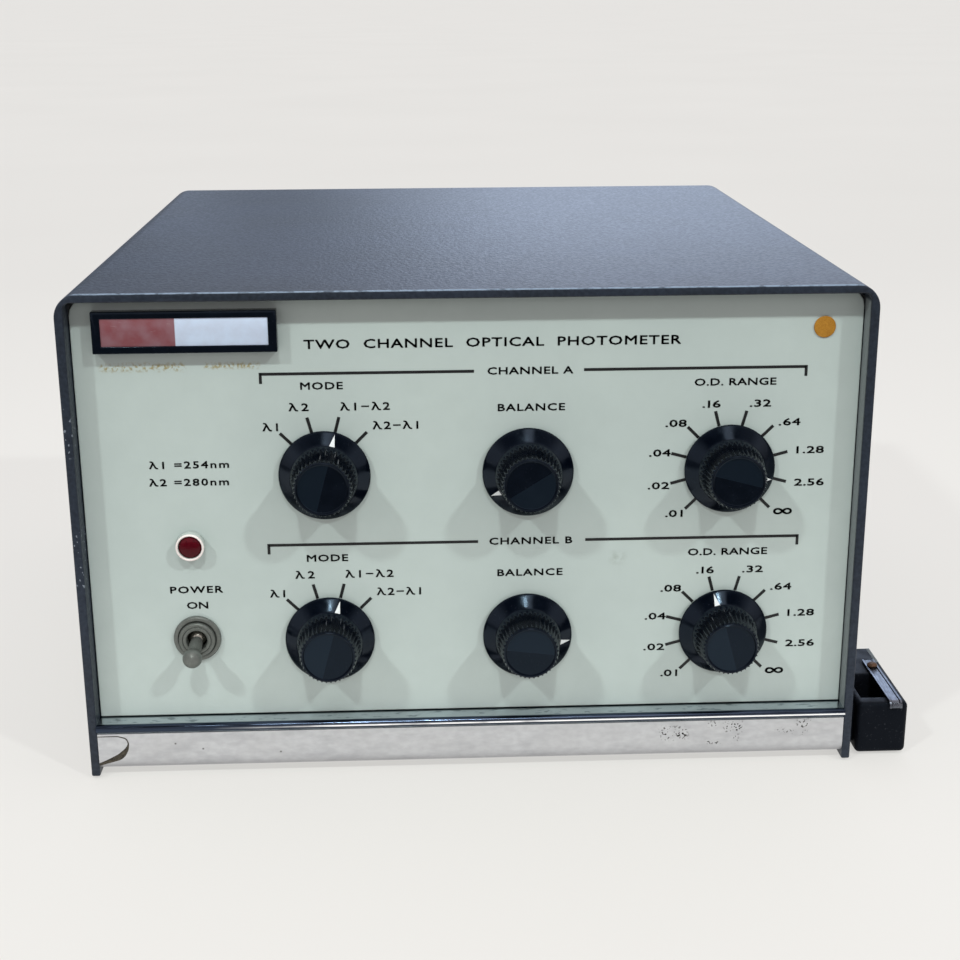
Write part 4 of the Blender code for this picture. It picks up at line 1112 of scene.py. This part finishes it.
def side_block_shape():
    low = (BLOCK_BODY_LEFT, block_low.y, block_low.z)
    shape = block(low, block_high)
    cuts = [((POCKET["left"], 0, 0), (1, 0, 0)), ((POCKET["right"], 0, 0), (1, 0, 0))]
    cuts += [((0, POCKET["front"], 0), (0, 1, 0)), ((0, POCKET["back"], 0), (0, 1, 0))]
    for point, normal in cuts:
        everything = shape.verts[:] + shape.edges[:] + shape.faces[:]
        bmesh.ops.bisect_plane(shape, geom=everything, plane_co=point, plane_no=normal)
    middle_x, middle_y = (POCKET["left"] + POCKET["right"]) / 2, (POCKET["front"] + POCKET["back"]) / 2
    middle = Vector((middle_x, middle_y, block_high.z))
    lid = min(shape.faces, key=lambda face: (face.calc_center_median() - middle).length)
    moved_copy(shape, [lid], (0, 0, POCKET["floor"] - block_high.z))
    bmesh.ops.delete(shape, geom=[lid], context="FACES_ONLY")
    bmesh.ops.recalc_face_normals(shape, faces=shape.faces)

    def outside(point):
        across = point.x < POCKET["left"] - 0.1 or point.x > POCKET["right"] + 0.1
        return across or point.y < POCKET["front"] - 0.1 or point.y > POCKET["back"] + 0.1

    bevelled(shape, sharp_edges(shape, 60, outside), 2.3, 5)
    bevelled(shape, sharp_edges(shape, 60, lambda point: not outside(point)), 0.6, 2)
    return shape


def pad_shape():
    low = (block_low.x, block_low.y + 6, 3)
    high = (BLOCK_BODY_LEFT + 2, block_high.y - 6, block_high.z - 3)
    return block(low, high, 0.8)


piece(
    "moulded_side_block", joined([side_block_shape(), pad_shape()]), MATT_BLACK,
    nodes=["cell_block"],
)

# The ribs are real ridges, but they get the grey metal finish so that they show as light ticks: a
# painted highlight on the black block.
RIB_COUNT, RIB_PITCH, RIB_WIDTH, RIB_START = 12, 1.4, 0.7, 18
ribs = []
for step in range(RIB_COUNT):
    y = block_high.y - RIB_START + RIB_PITCH * step
    rib_low = (block_high.x - 2.6, y, block_high.z - 0.6)
    ribs.append(block(rib_low, (block_high.x - 1.0, y + RIB_WIDTH, block_high.z + 0.1)))
piece("block_ribs_painted_highlight", joined(ribs), GREY_METAL, sharp=30)

clip_low, clip_high = (from_cabinet(corner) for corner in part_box("cell_clip"))
CLIP_CURL = 1.6


def clip_shape():
    """A ribbed section drawn along the strip and round its curl."""
    half = (clip_high.x - clip_low.x) / 2
    top = block_high.z + 0.3
    section = [(-half, 0), (-half, 1.1), (-half + 0.9, 1.1), (-half + 1.3, 0.75)]
    section += [(half - 1.3, 0.75), (half - 0.9, 1.1), (half, 1.1), (half, 0)]
    line = [(clip_high.y, top, 0)]
    for bend in range(0, 91, 10):
        y, z = CLIP_CURL * sin(radians(bend)), CLIP_CURL * (1 - cos(radians(bend)))
        line.append((clip_low.y + 1.1 + CLIP_CURL - y, top - z, bend))
    line.append((clip_low.y + 1.1, clip_low.z + 0.1, 90))
    middle = (clip_low.x + clip_high.x) / 2
    places = [
        Matrix.Translation((middle, y, z)) @ Matrix.Rotation(radians(bend), 4, "X")
        for y, z, bend in line
    ]
    shape = swept(section, places)
    return bevelled(shape, sharp_edges(shape, 70), 0.15, 2)


piece("ribbed_clip", clip_shape(), SPRING, "clip", ["cell_clip"])

screw = middle_of("clip_screw")
screw_top = from_cabinet(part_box("clip_screw")[1]).z - block_high.z
screw_head = [(0, screw_top), (1.3, screw_top - 0.1), (2.3, screw_top - 0.9), (2.4, 1.4)]
screw_profile = softened(screw_head + [(1.5, 1.4), (1.5, -6.5), (0, -6.5)], 0.2)
piece(
    "rusted_clip_screw", spun(screw_profile, 40), RUST, nodes=["clip_screw"],
    place=CABINET @ Matrix.Translation((screw.x, screw.y, block_high.z)),
)

# %% [markdown]
# ## Fasteners and feet
# Four pan-head screws hold the cover to the chassis, and four rubber feet carry the cabinet. All
# are turned shapes, one profile for the screws and one for the feet. The heads are left plain: no
# recess for a driver is cut in them. A foot's radius and height are read from its CAD node.

# %% Screws and feet
SCREW_PROFILE = [(0, 2.2), (1.5, 2.15), (3.0, 1.7), (3.8, 0.9), (4.0, 0.3), (1.9, 0.3)]
SCREW_PROFILE += [(1.9, -8), (0, -8)]
for side, sign in (("left", -1), ("right", 1)):
    for end in ("front", "back"):
        node = f"cover_screw_{side}_{end}"
        head = middle_of(node)
        place = Matrix.Translation(at(sign * COVER_HALF, head.y, head.z))
        place = place @ Matrix.Rotation(sign * radians(90), 4, "Y") @ Matrix.Scale(MM, 4)
        piece(
            f"pan_head_{side}_{end}", spun(softened(SCREW_PROFILE, 0.3), 40), NICKEL,
            nodes=[node], place=place,
        )
        node = f"foot_{side}_{end}"
        foot_low, foot_high = (from_cabinet(corner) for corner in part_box(node))
        radius, tall = (foot_high.x - foot_low.x) / 2, foot_high.z - foot_low.z
        foot = softened([(0, tall), (radius, tall), (radius, 1.4), (radius - 1, 0), (0, 0)], 0.6)
        middle_x, middle_y = (foot_low.x + foot_high.x) / 2, (foot_low.y + foot_high.y) / 2
        place = CABINET @ Matrix.Translation((middle_x, middle_y, foot_low.z))
        piece(f"rubber_{node}", spun(foot, 48), RUBBER, nodes=[node], place=place)

# %% [markdown]
# ## Rear fittings
# The fuse cap and the two recorder sockets are turned parts. A fuse cap is ridged for the
# fingers, so its side gets the same kind of wave as the knobs. A coaxial socket has a flange, a
# shell, a pale insulator, and two small lugs that lock the plug.

# %% Rear fittings
def on_back(x, z):
    return Matrix.Translation(at(x, BACK_FACE, z)) @ FACING_BACK @ Matrix.Scale(MM, 4)


fuse = middle_of("fuse_holder")
CAP_RIDGES, CAP_GROOVE = 20, 0.35
fuse_profile = [(0, 11.7), (1.0, 11.7), (1.0, 12), (6.4, 12), (7.2, 11.2), (7.2, 3.2), (9, 3)]
fuse_profile = softened(fuse_profile + [(9, 0.3), (6, 0.3), (6, -30), (0, -30)], 0.3)
cap = spun(fuse_profile, CAP_RIDGES * 8)
for vert in cap.verts:
    if hypot(vert.co.x, vert.co.y) > 6.6 and vert.co.z > 4.0:
        pressed_in(vert, CAP_RIDGES, CAP_GROOVE)
piece(
    "ridged_fuse_cap", cap, MATT_BLACK, nodes=["fuse_holder"],
    place=on_back(fuse.x, fuse.z),
)
SHELL = [(0, 5.6), (3.4, 5.6), (4.1, 6.0), (4.1, 16.9), (4.8, 16.9), (4.8, 2.5), (7.5, 2.5)]
SHELL = softened(SHELL + [(7.5, 0.3), (4.7, 0.3), (4.7, -10), (0, -10)], 0.2)
INSULATOR = softened([(0, 13.2), (1.3, 13.2), (1.3, 12.0), (2.4, 11.8), (2.4, 6.2), (0, 6.2)], 0.15)
for letter in "ab":
    node = f"output_socket_{letter}"
    hub = middle_of(node)
    place = on_back(hub.x, hub.z)
    lugs = []
    for sign in (-1, 1):
        lug = spun(softened([(0, 1.3), (0.9, 1.2), (0.95, 0), (0, 0)], 0.15), 20)
        outwards = Matrix.Rotation(sign * radians(90), 4, "Y")
        lugs.append(placed(lug, Matrix.Translation((sign * 4.75, 0, 13.5)) @ outwards))
    shell = joined([spun(SHELL, 64)] + lugs)
    piece(f"coaxial_shell_{letter}", shell, NICKEL, nodes=[node], place=place)
    core = spun(INSULATOR, 40)
    piece(f"coaxial_insulator_{letter}", core, PALE_PLASTIC, place=place)

# %% [markdown]
# ## Finishes for the CAD nodes that stay
# Flat plates and the pieces inside the cabinet already have the right shape, so they keep it and
# only get a better finish. Each CAD node's own material is named after its slot, so one table
# maps a slot to its finish and a loop does the rest.

# %% CAD nodes
FINISH_OF_SLOT = {
    "textured_blue_grey_paint": COVER_PAINT, "grey_green_paint": PANEL_ENAMEL,
    "bright_rail": CHROMIUM, "satin_foil": FOIL_TAPE, "plated_sheet": PLATED,
    "black_phenolic": PHENOLIC, "turned_steel": TURNED, "nickel_plate": NICKEL,
    "moulded_black": MATT_BLACK, "brown_laminate": LAMINATE, "grey_enamel": GREY_METAL,
    "ivory_plastic": PALE_PLASTIC, "red_lens": RED_PLASTIC, "foil_label": LABEL_FOIL,
    "orange_paper": PAPER_DOT, "black_rubber": RUBBER, "rusty_steel": RUST,
    "spring_steel": SPRING, "green_laminate": BOARD, "transformer_iron": IRON,
    "cast_aluminium": CASTING,
}
kept = 0
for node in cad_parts.values():
    for place in node.material_slots:
        place.material = FINISH_OF_SLOT[place.material.name.split(".")[0]]
    kept += not node.hide_render
print(kept, "CAD nodes shown with new finishes")

# %% [markdown]
# ## Floor
# A plain pale sheet fills the view, wide enough for its edge to lie beyond the camera's horizon
# line. It is a sheet lit from behind, as for product pictures, so shadows on it stay faint.
# Nearer than the view reaches it goes dark: the glossy knobs mirror that part, and it is what
# makes them look black.

# %% Floor
def floor_finish():
    finish, coords = new_finish(
        "pale_backlit_sheet", Roughness=0.9, Specular_IOR_Level=0.0, Emission_Color=srgb("#F6F5F1")
    )
    tone = blotches(coords, 600, 0.3, 0.7, 2.0)
    front = ramp(coords, "Y", -170, -340)
    near = ramp(coords, "Y", 1200, -60)
    wire("Base Color", layered("#8A8886", [(tone, 1, "#878583"), (front, 1, "#4A4846")]))
    wire("Emission Strength", both(between(near, 0.48, 0.60), between(front, 1.0, 0.14)))
    return finish


FLOOR_HALF = 95
FLOOR_DROP = 0.05 * MM
floor_shape = bmesh.new()
bmesh.ops.create_grid(floor_shape, x_segments=8, y_segments=8, size=FLOOR_HALF)
bmesh.ops.translate(floor_shape, vec=(0, 0, cad_low.z - FLOOR_DROP), verts=floor_shape.verts)
floor_mesh = as_mesh("floor", floor_shape)
floor_mesh.materials.append(floor_finish())
floor = in_scene("floor", floor_mesh)
print("floor", round(floor.dimensions.x), "m wide")

# %% [markdown]
# ## Light
# Three ceiling lights in a row stand far in front of and above the cabinet, so each knob throws
# three faint shadows: to the left, straight down and to the right. Suns do this evenly over the
# whole floor; lamps would leave bright pools on it. The two outer ones make no glints on glossy
# pieces, as matt ceiling panels don't. The room is a sky without a picture: low in front it has a
# faint glow, high in front it is dark but for one strip, overhead it is brighter, and it is
# brightest behind the cabinet, in two bands that give the top its long pale sheen.

# %% Lights and room
LIGHT_SPREAD = radians(3.2)


def ceiling_light(name, direction, strength, glints=True):
    """A distant light that shines along a direction; one without glints is a matt panel."""
    light = bpy.data.lights.new(name, "SUN")
    light.energy = strength
    light.angle = LIGHT_SPREAD
    light.color = srgb("#F7FFFC")[:3]
    holder = in_scene(name, light)
    holder.rotation_euler = Vector(direction).to_track_quat("-Z", "Y").to_euler()
    holder.visible_glossy = glints


STEEPNESS = -1.28
ceiling_light("ceiling_right", (-1.1, 1.0, STEEPNESS), 0.93, False)
ceiling_light("ceiling_middle", (0.03, 1.0, STEEPNESS), 0.80)
ceiling_light("ceiling_left", (1.05, 1.0, STEEPNESS), 0.93, False)

world = bpy.data.worlds.new("room")
bpy.context.scene.world = world
world.use_nodes = True
sky = world.node_tree


heading = add(sky, "SeparateXYZ", {0: add(sky, "TexCoord", {}).outputs["Generated"]})
aside, backward, upward = heading.outputs

# Behind the cabinet: a wide and a thin band of sheen, fading out sideways and upwards.
bearing = maths("DIVIDE", aside, maths("MAXIMUM", backward, 0.05))
wide_band = both(mapped(bearing, -0.06, 0.06), mapped(bearing, 0.9, 0.06))
thin_band = both(mapped(bearing, -0.19, -0.15), mapped(bearing, -0.11, -0.15))
bands = maths("ADD", wide_band, maths("MULTIPLY", thin_band, 0.45))
behind = both(mapped(backward, 0.2, 0.6), mapped(upward, 0.75, 0.45))
sheen = both(both(bands, behind), mapped(upward, 0.1, 0.2, 1.42, 2.5))

# Overhead and all round: a broad glow that dies away to the front.
overhead = both(mapped(upward, 0.1, 0.75), mapped(backward, -0.5, -0.1))
room_fill = mapped(backward, -0.2, 0.3, 0.05, 0.22)

# In front: a faint low glow, and one bright strip high up, which the knobs mirror.
in_front = both(mapped(backward, 0.0, -0.3), mapped(upward, 0.62, 0.4))
in_front = maths("MULTIPLY", both(in_front, mapped(upward, -0.02, 0.02)), 0.7)
lean = maths("DIVIDE", aside, maths("MAXIMUM", upward, 0.05))
strip = both(mapped(lean, -0.12, 0.02), mapped(lean, 0.30, 0.18))
strip = both(strip, both(mapped(backward, -0.3, -0.4), mapped(upward, 0.64, 0.72)))
strip = maths("MULTIPLY", strip, 2.4)

level = maths("ADD", maths("ADD", sheen, overhead), room_fill)
level = maths("ADD", level, maths("ADD", in_front, strip))
tint = add(sky, "Mix", {0: behind, 6: srgb("#FFF7F8"), 7: srgb("#D2E2FC")}, data_type="RGBA")
sky.links.new(level, sky.nodes["Background"].inputs["Strength"])
sky.links.new(tint.outputs[2], sky.nodes["Background"].inputs["Color"])
bpy.context.scene.view_settings.view_transform = "Standard"
print(len(bpy.data.lights), "lights")

# %% [markdown]
# ## Camera
# The camera stands a little left of the middle, 63 cm in front of the cabinet and 11 cm above its
# top, and looks down at 17 degrees. Its place is given in the cabinet's millimetres, its
# direction as angles.

# %% Camera
CAMERA_PLACE = (-22.77, -627.34, 324.01)
YAW, PITCH, ROLL_ANGLE = 0.0413, 0.2985, -0.005
LENS = 59.9
camera_data = bpy.data.cameras.new("camera")
camera_data.lens = LENS
camera_data.sensor_width = 36
camera = in_scene("camera", camera_data)
turn = Matrix.Rotation(-YAW, 4, "Z") @ Matrix.Rotation(pi / 2 - PITCH, 4, "X")
camera.matrix_world = (
    Matrix.Translation(at(*CAMERA_PLACE)) @ turn @ Matrix.Rotation(ROLL_ANGLE, 4, "Z")
)
bpy.context.scene.camera = camera
print("camera at", [round(value, 3) for value in camera.location])
